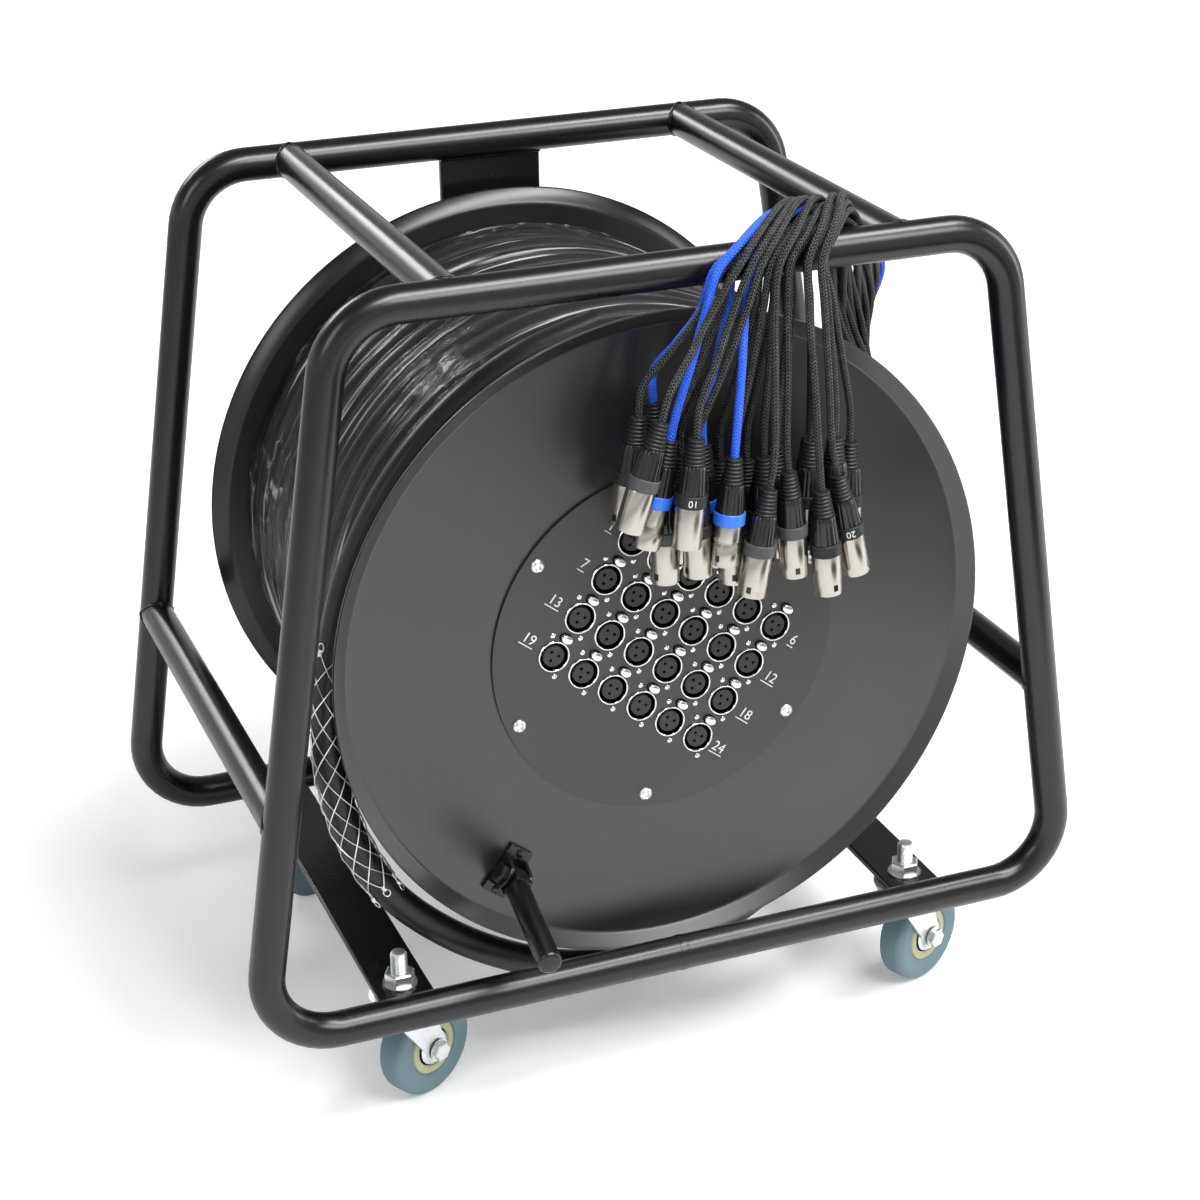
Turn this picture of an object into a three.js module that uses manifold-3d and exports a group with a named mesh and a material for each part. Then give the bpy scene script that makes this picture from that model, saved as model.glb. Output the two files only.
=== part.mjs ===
// A stage cable drum: a multicore wound on a steel reel, with 24 sockets on the reel's face,
// carried on one side in a bent-tube frame that rolls on four swivel casters.
// Millimetres, +X right, +Y back, +Z up, with the floor at zero.
import * as THREE from "three";
import { mergeVertices } from "three/addons/utils/BufferGeometryUtils.js";
import Module from "manifold-3d";

// Clearances that all pieces share
const seatGap = 0.3;
const cutOverrun = 2;

// Frame: two bent loops of round tube, joined by crossbars, side braces and flat straps
const tubeDiameter = 25;
const railSetback = 27.6;
const bottomRailHeight = 96;
const topRailHeight = 606;
const bottomCornerSpread = 311;
const topCornerSpread = 232;
const bendRadius = 48;
const weldProud = 0.3;
const weldLength = 7;
const crossbarSpread = 157;
const braceHeight = 260;
const strapSpread = 200;
const strapWidth = 40;
const strapThickness = 5;
const strapRise = 2;

// Support plate and axle behind the drum
const plateWidth = 80;
const plateThickness = 5;
const plateJoggle = 4;
const plateTabHeight = 34;
const axleRadius = 10;
const axleCollarRadius = 27;
const axleThreadRadius = 8;
const axleNutFlats = 24;
const axleNutHeight = 8;
const axleEndCapRadius = 15;
const axleEndCapThickness = 4;

// Casters
const stemSetback = 36;
const stemRadius = 6;
const stemRise = 26;
const nutFlats = 19;
const nutHeight = 10;
const raceRadius = 23;
const raceThickness = 3.5;
const kingpinRadius = 5;
const kingpinHeadRadius = 9;
const kingpinHeadHeight = 2;
const crownRadius = 22;
const crownThickness = 3;
const casterRunningGap = 0.6;
const wheelDiameter = 75;
const wheelWidth = 22;
const wheelTrail = 21;
const wheelHubRadius = 10;
const wheelHubProud = 1.2;
const wheelRecessDepth = 2;
const wheelRimRadius = 20;
const wheelShoulder = 4.5;
const wheelBoltRadius = 4;
const wheelBoltFlats = 13;
const wheelBoltHead = 5;
const forkPlateThickness = 2.5;
const forkTopWidth = 34;
const forkBossRadius = 10;
const forkShoulderDrop = 9;

// Drum: two flared flanges on a barrel
const drumHeight = 332;
const drumOffset = 1.5;
const drumWidth = 317;
const flangeRadius = 240;
const flangeSheet = 2.5;
const flareWidth = 10;
const flareDepth = 8;
const barrelRadius = 135;
const barrelWall = 2.5;
const panelOpeningRadius = 113;
const hubRadius = 24;
const hubFlangeRadius = 46;
const hubFlangeThickness = 6;
const hubLength = 118;

// Cable on the drum: one outer layer over a plain core
const cableDiameter = 22;
const windingRadius = 203;
const windingPitch = 22.6;
const windingSideRoom = 0.925;

// Socket panel on the drum's face
const panelRadius = 127;
const panelThickness = 2;
const socketColumns = 6;
const socketRows = 4;
const columnPitch = 27;
const rowPitch = 32;
const socketRingRadius = 11.4;
const socketRingProud = 1.6;
const socketBoreRadius = 9.6;
const socketBoreDepth = 12;
const insertRadius = 7.6;
const insertSetback = 0.8;
const socketBodyDepth = 22;
const latchRise = 14.9;
const latchWidth = 9;
const latchHeight = 6;
const latchProud = 3.5;
const latchLength = 9;
const latchCrownShare = 0.86;

// Crank: a round handle that folds flat in a clevis bracket on the front flange
const crankRimSetback = 43;
const crankPivotStandoff = 14;
const crankBarRadius = 8.5;
const crankLength = 98;
const crankTipChamfer = 2.5;
const crankLugWidth = 13;
const earThickness = 3;
const earReach = 10;
const bracketLength = 38;
const earFootSpread = 12;
const bracketBase = 3;
const crankBoltRadius = 4;
const crankBoltFlats = 13;
const crankBoltHead = 4.5;

// Free end of the cable, its pulling grip, the fan-out boot, the tails and their plugs
const gripStartShare = 0.28;
const gripEndShare = 0.46;
const gripWall = 1.4;
const bootLength = 52;
const bootCuffLength = 18;
const bootBottomRadius = 15;
const bootTopRadius = 18;
const strandDiameter = 11;
const plugShellRadius = 9.5;
const plugBandRadius = 10;
const plugBandLength = 21;
const plugShellLength = 31;
const plugReliefLength = 22;
const plugReliefRadius = 4.2;
const plugStaggerX = 6.2;
const plugStaggerY = 6.6;
const plugStandoff = 26.9;

// Resting positions
const drumRestAngle = THREE.MathUtils.degToRad(37.7);
const crankRestLean = THREE.MathUtils.degToRad(8.5);
const casterHeadings = [28, 25, 32, 20].map(THREE.MathUtils.degToRad);

// Facet counts
const tubeSides = 12;
const bendSteps = 5;
const drumSegments = 44;
const coreSegments = 28;
const shaftSegments = 16;
const casterSegments = 12;
const wheelSegments = 14;
const socketSegments = 8;
const boltSegments = 8;
const cheekSegments = 3;
const loopSteps = 20;
const loopSides = 6;
const cordSides = 8;
const multicoreSteps = 28;
const strandSides = 8;
const plugSides = 8;
const latchSides = 6;

// Where the cable leaves the winding and runs round under the drum to the boot,
// with its place along Y counted from the drum's front face
const multicoreRoute = [
  [-39.6, 17, 560.0],
  [-96.4, 17, 542.1],
  [-146.6, 17, 510.2],
  [-186.8, 17, 466.3],
  [-215.2, 17, 413.8],
  [-229.5, 17, 367.7],
  [-237.5, 17, 319.0],
  [-237.5, 17, 268.0],
  [-226.2, 17, 215.8],
  [-201.7, 17, 167.1],
  [-163.2, 17, 126.7],
  [-117.0, 17, 95.5],
  [-65.3, 17, 74.5],
  [-9.5, 18, 69.7],
  [44.5, 20, 79.6],
  [92.8, 21, 104.5],
  [133.9, 21, 138.6],
  [169.8, 21, 175.7],
  [201.0, 23, 214.0],
  [219.5, 25, 246.0],
  [228.2, 27, 272.0],
  [229.2, 27, 304.0],
];

// The 24 tails as seven strands of three or four, from the boot over the front top rail to the
// plugs: each strand's place along the rail, and in X and Z where it ends above its plugs
const strandRailPlaces = [54, 66.6, 79.2, 91.8, 104.4, 117, 129.6];
const strandEnds = [
  [-36, 482],
  [-12, 470],
  [13, 476],
  [38, 468],
  [63, 456],
  [88, 452],
  [110, 446],
];
// Where each strand leaves the boot, beside the boot's axis in X and Y
const strandBootPlaces = [[-5.3, -9.2], [5.3, -9.2], [-10.6, 0], [10.6, 0], [0, 0], [5.3, 9.2], [-5.3, 9.2]];
const strandBootRun = 12;
// Then round the drum in one layer, as angle from the right, and up to the rail, as the middle
// strand's place with the step from one strand to the next, again counted from the front face
const strandArcAngles = [24, 40].map(THREE.MathUtils.degToRad);
const strandArcRadius = 225;
const strandArcPlace = 47;
const strandArcPitch = 12.3;
const strandFan = { x: 170, y: 50, z: 537, stepX: 9.5, stepY: 10.5, stepZ: 5 };
const strandUnder = { x: 116, y: 37, z: 572, stepX: 11, stepY: 12, stepZ: 1 };
const strandRailRadius = 20.3;
const strandRailAngles = [-10, 50, 110, 170].map(THREE.MathUtils.degToRad);
const strandRailLeans = [8, 0, 0, 0];
const strandFrontHeight = 544;
const strandFrontShare = 0.45;
const strandHang = 14;

const tubeRadius = tubeDiameter / 2;
const frameDepth = drumWidth + 2 * railSetback;
const loopPlane = frameDepth / 2;
const strapTop = bottomRailHeight + strapRise;
const strapBottom = strapTop - strapThickness;
const stemPlace = loopPlane - stemSetback;
const wheelRadius = wheelDiameter / 2;
const cableRadius = cableDiameter / 2;
const frontFace = drumOffset - drumWidth / 2;
const rearFace = drumOffset + drumWidth / 2;
const panelFace = frontFace - seatGap - panelThickness;
const windingLength = drumWidth - 2 * flangeSheet - cableDiameter - 2 * windingSideRoom;
const windingTurns = windingLength / windingPitch;
const crankRadius = flangeRadius - crankRimSetback;
const crankTipReach = crankLength * Math.cos(crankRestLean) + crankBarRadius * Math.sin(crankRestLean);
const crankReach = crankPivotStandoff + crankTipReach;
const originShift = (crankReach - frontFace - loopPlane - tubeRadius) / 2;

const wasm = await Module();
wasm.setup();

const sideways = new THREE.Vector3(1, 0, 0);
const backwards = new THREE.Vector3(0, 1, 0);
const upwards = new THREE.Vector3(0, 0, 1);
const place = (x, y, z) => new THREE.Vector3(x, y, z);

function toSolid(geometry) {
  const bare = geometry.clone();
  bare.deleteAttribute("normal");
  bare.deleteAttribute("uv");
  const merged = mergeVertices(bare);
  const mesh = new wasm.Mesh({
    numProp: 3,
    vertProperties: merged.attributes.position.array,
    triVerts: new Uint32Array(merged.index.array),
  });
  return new wasm.Manifold(mesh);
}

function toGeometry(solid) {
  const mesh = solid.getMesh();
  const geometry = new THREE.BufferGeometry();
  geometry.setAttribute("position", new THREE.BufferAttribute(mesh.vertProperties, 3));
  geometry.setIndex(new THREE.BufferAttribute(mesh.triVerts, 1));
  return geometry;
}

function join(...geometries) {
  return toGeometry(geometries.map(toSolid).reduce((whole, part) => whole.add(part)));
}

function cut(body, ...tools) {
  return toGeometry(tools.map(toSolid).reduce((rest, tool) => rest.subtract(tool), toSolid(body)));
}

function polygon(radius, sides, startAngle = 0) {
  const corners = [];
  for (let i = 0; i < sides; i += 1) {
    const angle = startAngle + (2 * Math.PI * i) / sides;
    corners.push(new THREE.Vector2(radius * Math.cos(angle), radius * Math.sin(angle)));
  }
  return corners;
}

// A line of stations, one tube section at each
class StationPath extends THREE.Curve {
  constructor(stations) {
    super();
    this.stations = stations;
  }

  getUtoTmapping(share) {
    return share;
  }

  getPoint(share, target = new THREE.Vector3()) {
    const last = this.stations.length - 1;
    const position = THREE.MathUtils.clamp(share, 0, 1) * last;
    const index = Math.min(Math.floor(position), last - 1);
    return target.lerpVectors(this.stations[index], this.stations[index + 1], position - index);
  }

  getTangent(share, target = new THREE.Vector3()) {
    const last = this.stations.length - 1;
    const index = Math.round(THREE.MathUtils.clamp(share, 0, 1) * last);
    const here = this.stations[index];
    const before = here.clone().sub(this.stations[Math.max(index - 1, 0)]).normalize();
    const after = this.stations[Math.min(index + 1, last)].clone().sub(here).normalize();
    return target.addVectors(before, after).normalize();
  }
}

function sweep(shape, stations) {
  const extrudePath = new StationPath(stations);
  return new THREE.ExtrudeGeometry(shape, { extrudePath, steps: stations.length - 1 });
}

function tube(stations, radius, sides) {
  return sweep(new THREE.Shape(polygon(radius, sides)), stations);
}

// A turned piece on the Y axis, from a profile of radius and place along Y that runs anticlockwise
function turned(profile, segments) {
  return new THREE.LatheGeometry(profile.map(([radius, y]) => new THREE.Vector2(radius, y)), segments);
}

function rod(radius, from, to, segments) {
  const profile = [[0, from], [radius, from], [radius, to], [0, to]];
  return turned(profile, segments);
}

function hexagon(flats, from, to) {
  return rod(flats / Math.sqrt(3), from, to, 6);
}

// A flat outline in X and Z, given a thickness from one place along Y to another
function platedAlongY(shape, from, to) {
  const plate = new THREE.ExtrudeGeometry(shape, { depth: to - from, bevelEnabled: false });
  plate.applyMatrix4(new THREE.Matrix4().makeBasis(sideways, upwards, backwards.clone().negate()));
  return plate.translate(0, to, 0);
}

// A flat outline in Y and Z, given a width along X about the middle
function platedAlongX(shape, width) {
  const plate = new THREE.ExtrudeGeometry(shape, { depth: width, bevelEnabled: false });
  plate.applyMatrix4(new THREE.Matrix4().makeBasis(backwards, upwards, sideways));
  return plate.translate(-width / 2, 0, 0);
}

const uprightTurned = (geometry) => geometry.rotateX(Math.PI / 2);

function paint(color, roughness, metalness) {
  return new THREE.MeshStandardMaterial({ color, roughness, metalness });
}

const blackPaint = paint(0x171717, 0.38, 0.25);
const zinc = paint(0xb9bcbd, 0.32, 0.95);
const steel = paint(0x8f9294, 0.35, 0.95);
const tyreRubber = paint(0x6f8f95, 0.6, 0);
const cableJacket = paint(0x2a292c, 0.5, 0);
const socketBlack = paint(0x1c1c1d, 0.45, 0.1);
const chrome = paint(0xd5d3cd, 0.2, 1);
const wireSteel = paint(0xb0b2b5, 0.3, 0.95);
const bootRubber = paint(0x1a1a1b, 0.7, 0);
const braid = paint(0x202124, 0.75, 0);

function piece(group, name, geometry, material) {
  const mesh = new THREE.Mesh(geometry, material);
  mesh.name = name;
  group.add(mesh);
  return mesh;
}

// Stations of a line through corners, with each inner corner bent to a radius
function bentLine(corners, radius) {
  const stations = [corners[0]];
  for (let i = 1; i < corners.length - 1; i += 1) {
    const back = corners[i - 1].clone().sub(corners[i]).normalize();
    const ahead = corners[i + 1].clone().sub(corners[i]).normalize();
    const halfAngle = back.angleTo(ahead) / 2;
    const setback = radius / Math.tan(halfAngle);
    const inwards = back.clone().add(ahead).normalize();
    const centre = corners[i].clone().addScaledVector(inwards, radius / Math.sin(halfAngle));
    const first = corners[i].clone().addScaledVector(back, setback).sub(centre);
    const last = corners[i].clone().addScaledVector(ahead, setback).sub(centre);
    const turn = first.angleTo(last);
    for (let step = 0; step <= bendSteps; step += 1) {
      const share = step / bendSteps;
      const station = centre.clone();
      station.addScaledVector(first, Math.sin((1 - share) * turn) / Math.sin(turn));
      station.addScaledVector(last, Math.sin(share * turn) / Math.sin(turn));
      stations.push(station);
    }
  }
  stations.push(corners[corners.length - 1]);
  return stations;
}

// The loop's line starts and ends at the butt weld in the middle of its bottom rail
function loopLine(y) {
  const corners = [
    place(-seatGap, y, bottomRailHeight),
    place(-bottomCornerSpread, y, bottomRailHeight),
    place(-topCornerSpread, y, topRailHeight),
    place(topCornerSpread, y, topRailHeight),
    place(bottomCornerSpread, y, bottomRailHeight),
    place(seatGap, y, bottomRailHeight),
  ];
  return bentLine(corners, bendRadius);
}

function frameLoop(y, room = 0) {
  const weldReach = weldLength / 2 + room;
  const weldEnds = [place(-weldReach, y, bottomRailHeight), place(weldReach, y, bottomRailHeight)];
  const weld = tube(weldEnds, tubeRadius + weldProud + room, tubeSides);
  return join(tube(loopLine(y), tubeRadius + room, tubeSides), weld);
}

// What a piece that meets a loop is cut back by
const loopRoom = (y) => frameLoop(y, seatGap);

function crossTube(x, z) {
  const line = [place(x, -loopPlane, z), place(x, loopPlane, z)];
  return cut(tube(line, tubeRadius, tubeSides), loopRoom(-loopPlane), loopRoom(loopPlane));
}

function legSpread(z) {
  const share = (z - bottomRailHeight) / (topRailHeight - bottomRailHeight);
  return THREE.MathUtils.lerp(bottomCornerSpread, topCornerSpread, share);
}

function casterStrap(x) {
  const bar = new THREE.BoxGeometry(strapWidth, frameDepth, strapThickness);
  bar.translate(x, 0, strapTop - strapThickness / 2);
  const holes = [-stemPlace, stemPlace].map((y) => {
    const hole = rod(stemRadius + seatGap, -cutOverrun, strapThickness + cutOverrun, boltSegments);
    return uprightTurned(hole).translate(x, y, strapBottom);
  });
  return cut(bar, loopRoom(-loopPlane), loopRoom(loopPlane), ...holes);
}

// A flat plate welded under the rear top rail and onto the rear bottom rail, joggled forwards between
function axleSupportPlate() {
  const back = loopPlane + plateThickness / 2;
  const lowBend = bottomRailHeight + tubeRadius + plateTabHeight;
  const highBend = topRailHeight - tubeRadius - plateTabHeight;
  const line = [
    [back, bottomRailHeight],
    [back, lowBend],
    [back - plateJoggle, lowBend + plateJoggle],
    [back - plateJoggle, highBend - plateJoggle],
    [back, highBend],
    [back, topRailHeight],
  ];
  const front = line.map(([y, z]) => [y - plateThickness, z]).reverse();
  const outline = [...line, ...front].map(([y, z]) => new THREE.Vector2(y, z));
  const plate = platedAlongX(new THREE.Shape(outline), plateWidth);
  const hole = rod(axleThreadRadius + seatGap, rearFace, loopPlane + frameDepth, shaftSegments);
  return cut(plate, loopRoom(loopPlane), hole.translate(0, 0, drumHeight));
}

// A stub axle held in the plate by its collar and nut, with the drum's hub on it
function drumAxle() {
  const plateBack = loopPlane + plateThickness / 2 - plateJoggle;
  const plateFront = plateBack - plateThickness;
  const hubEnd = rearFace - flangeSheet - hubLength;
  const profile = [
    [0, hubEnd - seatGap - axleEndCapThickness],
    [axleEndCapRadius, hubEnd - seatGap - axleEndCapThickness],
    [axleEndCapRadius, hubEnd - seatGap],
    [axleRadius, hubEnd - seatGap],
    [axleRadius, rearFace + seatGap],
    [axleCollarRadius, rearFace + seatGap],
    [axleCollarRadius, plateFront - seatGap],
    [axleThreadRadius, plateFront - seatGap],
    [axleThreadRadius, plateBack + seatGap + axleNutHeight],
    [0, plateBack + seatGap + axleNutHeight],
  ];
  const nut = hexagon(axleNutFlats, plateBack + seatGap, plateBack + seatGap + axleNutHeight);
  return join(turned(profile, shaftSegments), nut).translate(0, 0, drumHeight);
}

// A caster's fixed stem: the threaded bolt through the strap, its nut, the upper race and the kingpin
const raceTop = strapBottom - seatGap;
const raceBottom = raceTop - raceThickness;
const crownTop = raceBottom - casterRunningGap;
const crownBottom = crownTop - crownThickness;
const kingpinHeadTop = crownBottom - seatGap;

function casterStem() {
  const parts = [
    rod(stemRadius, raceTop - raceThickness / 2, strapTop + stemRise, boltSegments),
    hexagon(nutFlats, strapTop + seatGap, strapTop + seatGap + nutHeight),
    rod(raceRadius, raceBottom, raceTop, casterSegments),
    rod(kingpinRadius, kingpinHeadTop - kingpinHeadHeight, raceTop, boltSegments),
    rod(kingpinHeadRadius, kingpinHeadTop - kingpinHeadHeight, kingpinHeadTop, boltSegments),
  ];
  return uprightTurned(join(...parts));
}

// A fork: the crown that turns on the kingpin, two side plates and the wheel's bolt
function casterFork() {
  const inner = wheelWidth / 2 + wheelHubProud + seatGap;
  const outer = inner + forkPlateThickness;
  const crownProfile = [
    [kingpinRadius + seatGap, crownBottom],
    [crownRadius - crownThickness, crownBottom],
    [crownRadius, crownTop],
    [kingpinRadius + seatGap, crownTop],
    [kingpinRadius + seatGap, crownBottom],
  ];
  const crown = uprightTurned(turned(crownProfile, casterSegments));
  const cheek = new THREE.Shape();
  cheek.moveTo(-forkTopWidth / 2, crownTop - crownThickness / 2);
  cheek.lineTo(-forkTopWidth / 2, crownBottom - forkShoulderDrop);
  cheek.absarc(wheelTrail, wheelRadius, forkBossRadius, Math.PI, 2 * Math.PI, false);
  cheek.lineTo(forkTopWidth / 2, crownBottom - forkShoulderDrop);
  cheek.lineTo(forkTopWidth / 2, crownTop - crownThickness / 2);
  const cheekDepth = { depth: forkPlateThickness, bevelEnabled: false, curveSegments: cheekSegments };
  const plates = [-outer, inner].map((y) => {
    const plate = new THREE.ExtrudeGeometry(cheek, cheekDepth);
    plate.applyMatrix4(new THREE.Matrix4().makeBasis(sideways, upwards, backwards.clone().negate()));
    return plate.translate(0, y + forkPlateThickness, 0);
  });
  const bolt = rod(wheelBoltRadius, -outer - wheelBoltHead, outer + wheelBoltHead, boltSegments);
  const head = hexagon(wheelBoltFlats, -outer - wheelBoltHead, -outer + forkPlateThickness / 2);
  const nut = hexagon(wheelBoltFlats, outer - forkPlateThickness / 2, outer + wheelBoltHead);
  const axleParts = [bolt, head, nut].map((part) => part.translate(wheelTrail, 0, wheelRadius));
  return join(crown, ...plates, ...axleParts);
}

function casterWheel() {
  const half = wheelWidth / 2;
  const side = [
    [wheelBoltRadius + seatGap, half + wheelHubProud],
    [wheelHubRadius, half + wheelHubProud],
    [wheelHubRadius + wheelRecessDepth, half - wheelRecessDepth],
    [wheelRimRadius, half],
    [wheelRadius - wheelShoulder, half],
    [wheelRadius, half - wheelShoulder],
  ];
  const otherSide = side.map(([radius, y]) => [radius, -y]);
  const profile = [...otherSide, ...side.reverse(), otherSide[0]];
  return turned(profile, wheelSegments);
}

// A flange: a flat disc with a flared rim; outwards is -1 in front and 1 behind
function flange(face, outwards, boreRadius) {
  const bend = flangeRadius - flareWidth;
  const inside = face - outwards * flangeSheet;
  const outline = [
    [boreRadius, inside],
    [bend, inside],
    [flangeRadius, inside + outwards * flareDepth],
    [flangeRadius, face + outwards * flareDepth],
    [bend - flangeSheet / 2, face],
    [boreRadius, face],
    [boreRadius, inside],
  ];
  return turned(outwards > 0 ? outline : outline.reverse(), drumSegments);
}

function drumBarrel() {
  const from = frontFace + flangeSheet + seatGap;
  const to = rearFace - flangeSheet - seatGap;
  const inner = barrelRadius - barrelWall;
  const profile = [[inner, from], [barrelRadius, from], [barrelRadius, to], [inner, to], [inner, from]];
  return turned(profile, coreSegments);
}

function hubBearing() {
  const flangeBack = rearFace - flangeSheet - seatGap;
  const flangeFront = flangeBack - hubFlangeThickness;
  const end = rearFace - flangeSheet - hubLength;
  const bore = axleRadius + seatGap;
  const profile = [
    [bore, end],
    [hubRadius, end],
    [hubRadius, flangeFront],
    [hubFlangeRadius, flangeFront],
    [hubFlangeRadius, flangeBack],
    [bore, flangeBack],
    [bore, end],
  ];
  return turned(profile, shaftSegments);
}

function cableCore() {
  const from = frontFace + flangeSheet + seatGap;
  const to = rearFace - flangeSheet - seatGap;
  const outer = windingRadius * Math.cos(Math.PI / loopSteps) - cableRadius - seatGap;
  const inner = barrelRadius + seatGap;
  const profile = [[inner, from], [outer, from], [outer, to], [inner, to], [inner, from]];
  return turned(profile, coreSegments);
}

// The outer layer of the winding, as one helix whose ends run straight for one cable diameter
function windingLine() {
  const start = drumOffset - windingLength / 2;
  const steps = Math.round(windingTurns * loopSteps);
  const stations = [];
  for (let step = 0; step <= steps; step += 1) {
    const share = step / steps;
    const angle = 2 * Math.PI * windingTurns * share;
    const x = windingRadius * Math.cos(angle);
    stations.push(place(x, start + windingLength * share, windingRadius * Math.sin(angle)));
  }
  return stations;
}

function leastSelfGap(stations, diameter) {
  let least = Infinity;
  for (let i = 0; i < stations.length; i += 1) {
    for (let j = i + loopSteps / 2; j < stations.length; j += 1) {
      least = Math.min(least, stations[i].distanceTo(stations[j]) - diameter);
    }
  }
  return least;
}

function cableOuterLayer() {
  const line = windingLine();
  const gap = leastSelfGap(line, cableDiameter).toFixed(2);
  console.log("least gap between the winding's turns: " + gap + " mm");
  const [first, second] = line;
  const [nextToLast, last] = line.slice(line.length - 2);
  const start = first.clone().add(first.clone().sub(second).setLength(cableDiameter));
  const end = last.clone().add(last.clone().sub(nextToLast).setLength(cableDiameter));
  return tube([start, ...line, end], cableRadius, loopSides);
}

// Socket centres on the panel, row by row from the top left
const socketPlaces = [];
for (let row = 0; row < socketRows; row += 1) {
  for (let column = 0; column < socketColumns; column += 1) {
    const x = (column - (socketColumns - 1) / 2) * columnPitch;
    const z = ((socketRows - 1) / 2 - row) * rowPitch;
    socketPlaces.push([x, z]);
  }
}

function latchOutline(room) {
  const width = latchWidth / 2 + room;
  const height = latchHeight / 2 + room;
  const corners = polygon(1, latchSides);
  return new THREE.Shape(corners.map((corner) => new THREE.Vector2(corner.x * width, corner.y * height)));
}

// One socket: the chrome ring on the panel, the deep groove for a plug's shell and the insert inside it
function socketShell() {
  const profile = [
    [0, panelFace + insertSetback - socketRingProud],
    [insertRadius, panelFace + insertSetback - socketRingProud],
    [insertRadius, panelFace + socketBoreDepth],
    [socketBoreRadius, panelFace + socketBoreDepth],
    [socketBoreRadius, panelFace - socketRingProud],
    [socketRingRadius, panelFace - socketRingProud],
    [socketRingRadius, panelFace + socketBodyDepth],
    [0, panelFace + socketBodyDepth],
  ];
  return turned(profile, socketSegments);
}

function connectorPanel() {
  const shellWall = (socketRingRadius + socketBoreRadius) / 2;
  const panelBack = panelFace + panelThickness;
  const cutFront = panelFace - cutOverrun;
  const cutBack = panelBack + cutOverrun;
  let panel = toSolid(rod(panelRadius, panelFace, panelBack, drumSegments));
  for (const [x, z] of socketPlaces) {
    const hole = rod(shellWall, cutFront, cutBack, socketSegments).translate(x, 0, z);
    panel = panel.subtract(toSolid(hole)).add(toSolid(socketShell().translate(x, 0, z)));
  }
  for (const [x, z] of socketPlaces) {
    const slot = platedAlongY(latchOutline(seatGap), cutFront, cutBack).translate(x, 0, z + latchRise);
    panel = panel.subtract(toSolid(slot));
  }
  return toGeometry(panel);
}

// A release latch: an oval push tab with a crowned face
function socketLatch(x, z) {
  const tab = platedAlongY(latchOutline(0), panelFace - latchProud, panelFace - latchProud + latchLength);
  const positions = tab.getAttribute("position");
  for (let i = 0; i < positions.count; i += 1) {
    if (positions.getY(i) > panelFace) continue;
    positions.setX(i, positions.getX(i) * latchCrownShare);
    positions.setZ(i, positions.getZ(i) * latchCrownShare);
  }
  return tab.translate(x, 0, z + latchRise);
}

// The crank's clevis: a base plate, two ears with rounded ends and the pivot bolt through them
function crankBracket() {
  const pivot = frontFace - crankPivotStandoff;
  const inner = crankLugWidth / 2 + seatGap;
  const outer = inner + earThickness;
  const baseTop = frontFace - seatGap - bracketBase;
  const ear = new THREE.Shape();
  ear.moveTo(frontFace - seatGap, -earFootSpread);
  ear.lineTo(frontFace - seatGap, earFootSpread);
  ear.lineTo(baseTop, earFootSpread);
  ear.absarc(pivot, 0, earReach, Math.PI / 2, (3 * Math.PI) / 2, false);
  ear.lineTo(baseTop, -earFootSpread);
  const ears = [-1, 1].map((side) => {
    const plate = platedAlongX(ear, earThickness);
    return plate.translate(side * (inner + earThickness / 2), 0, 0);
  });
  const base = new THREE.BoxGeometry(2 * outer, bracketBase, bracketLength);
  base.translate(0, frontFace - seatGap - bracketBase / 2, 0);
  const boltEnds = outer + crankBoltHead;
  const bolt = [
    rod(crankBoltRadius, -boltEnds, boltEnds, boltSegments),
    hexagon(crankBoltFlats, -boltEnds, earThickness / 2 - outer),
    hexagon(crankBoltFlats, outer - earThickness / 2, boltEnds),
  ].map((part) => part.rotateZ(-Math.PI / 2).translate(0, pivot, 0));
  return join(base, ...ears, ...bolt).translate(0, 0, -crankRadius);
}

function crankHandle() {
  const pivot = frontFace - crankPivotStandoff;
  const tip = pivot - crankLength;
  const bar = turned(
    [
      [0, tip],
      [crankBarRadius - crankTipChamfer, tip],
      [crankBarRadius, tip + crankTipChamfer],
      [crankBarRadius, pivot - earReach - bracketBase],
      [crankLugWidth / 2, pivot - earReach],
      [0, pivot - earReach],
    ],
    shaftSegments,
  );
  const lug = new THREE.Shape();
  lug.moveTo(pivot - earReach - bracketBase, -crankBarRadius);
  lug.absarc(pivot, 0, crankBarRadius, -Math.PI / 2, Math.PI / 2, false);
  lug.lineTo(pivot - earReach - bracketBase, crankBarRadius);
  const lugPlate = platedAlongX(lug, crankLugWidth);
  const bore = (crankBoltRadius + seatGap) / Math.cos(Math.PI / boltSegments);
  const hole = rod(bore, -crankLugWidth, crankLugWidth, boltSegments);
  hole.rotateZ(-Math.PI / 2).translate(0, pivot, 0);
  const handle = cut(join(bar, lugPlate), hole).translate(0, -pivot, 0);
  return handle.rotateX(crankRestLean).translate(0, pivot, -crankRadius);
}

// The cable's free end
const multicorePoints = multicoreRoute.map(([x, depth, z]) => place(x, frontFace + depth, z));
const multicoreCurve = new THREE.CatmullRomCurve3(multicorePoints, false, "centripetal");
const multicoreStations = multicoreCurve.getSpacedPoints(multicoreSteps);
const bootFoot = multicoreStations[multicoreSteps];
const bootDirection = bootFoot.clone().sub(multicoreStations[multicoreSteps - 1]).normalize();
const bootTurn = new THREE.Quaternion().setFromUnitVectors(upwards, bootDirection);

function cableGrip() {
  const from = Math.round(gripStartShare * multicoreSteps);
  const to = Math.round(gripEndShare * multicoreSteps);
  const bore = cableRadius / Math.cos(Math.PI / cordSides) + seatGap;
  const ring = new THREE.Shape(polygon(bore + gripWall, cordSides));
  ring.holes.push(new THREE.Path(polygon(bore, cordSides)));
  return sweep(ring, multicoreStations.slice(from, to + 1));
}

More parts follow.
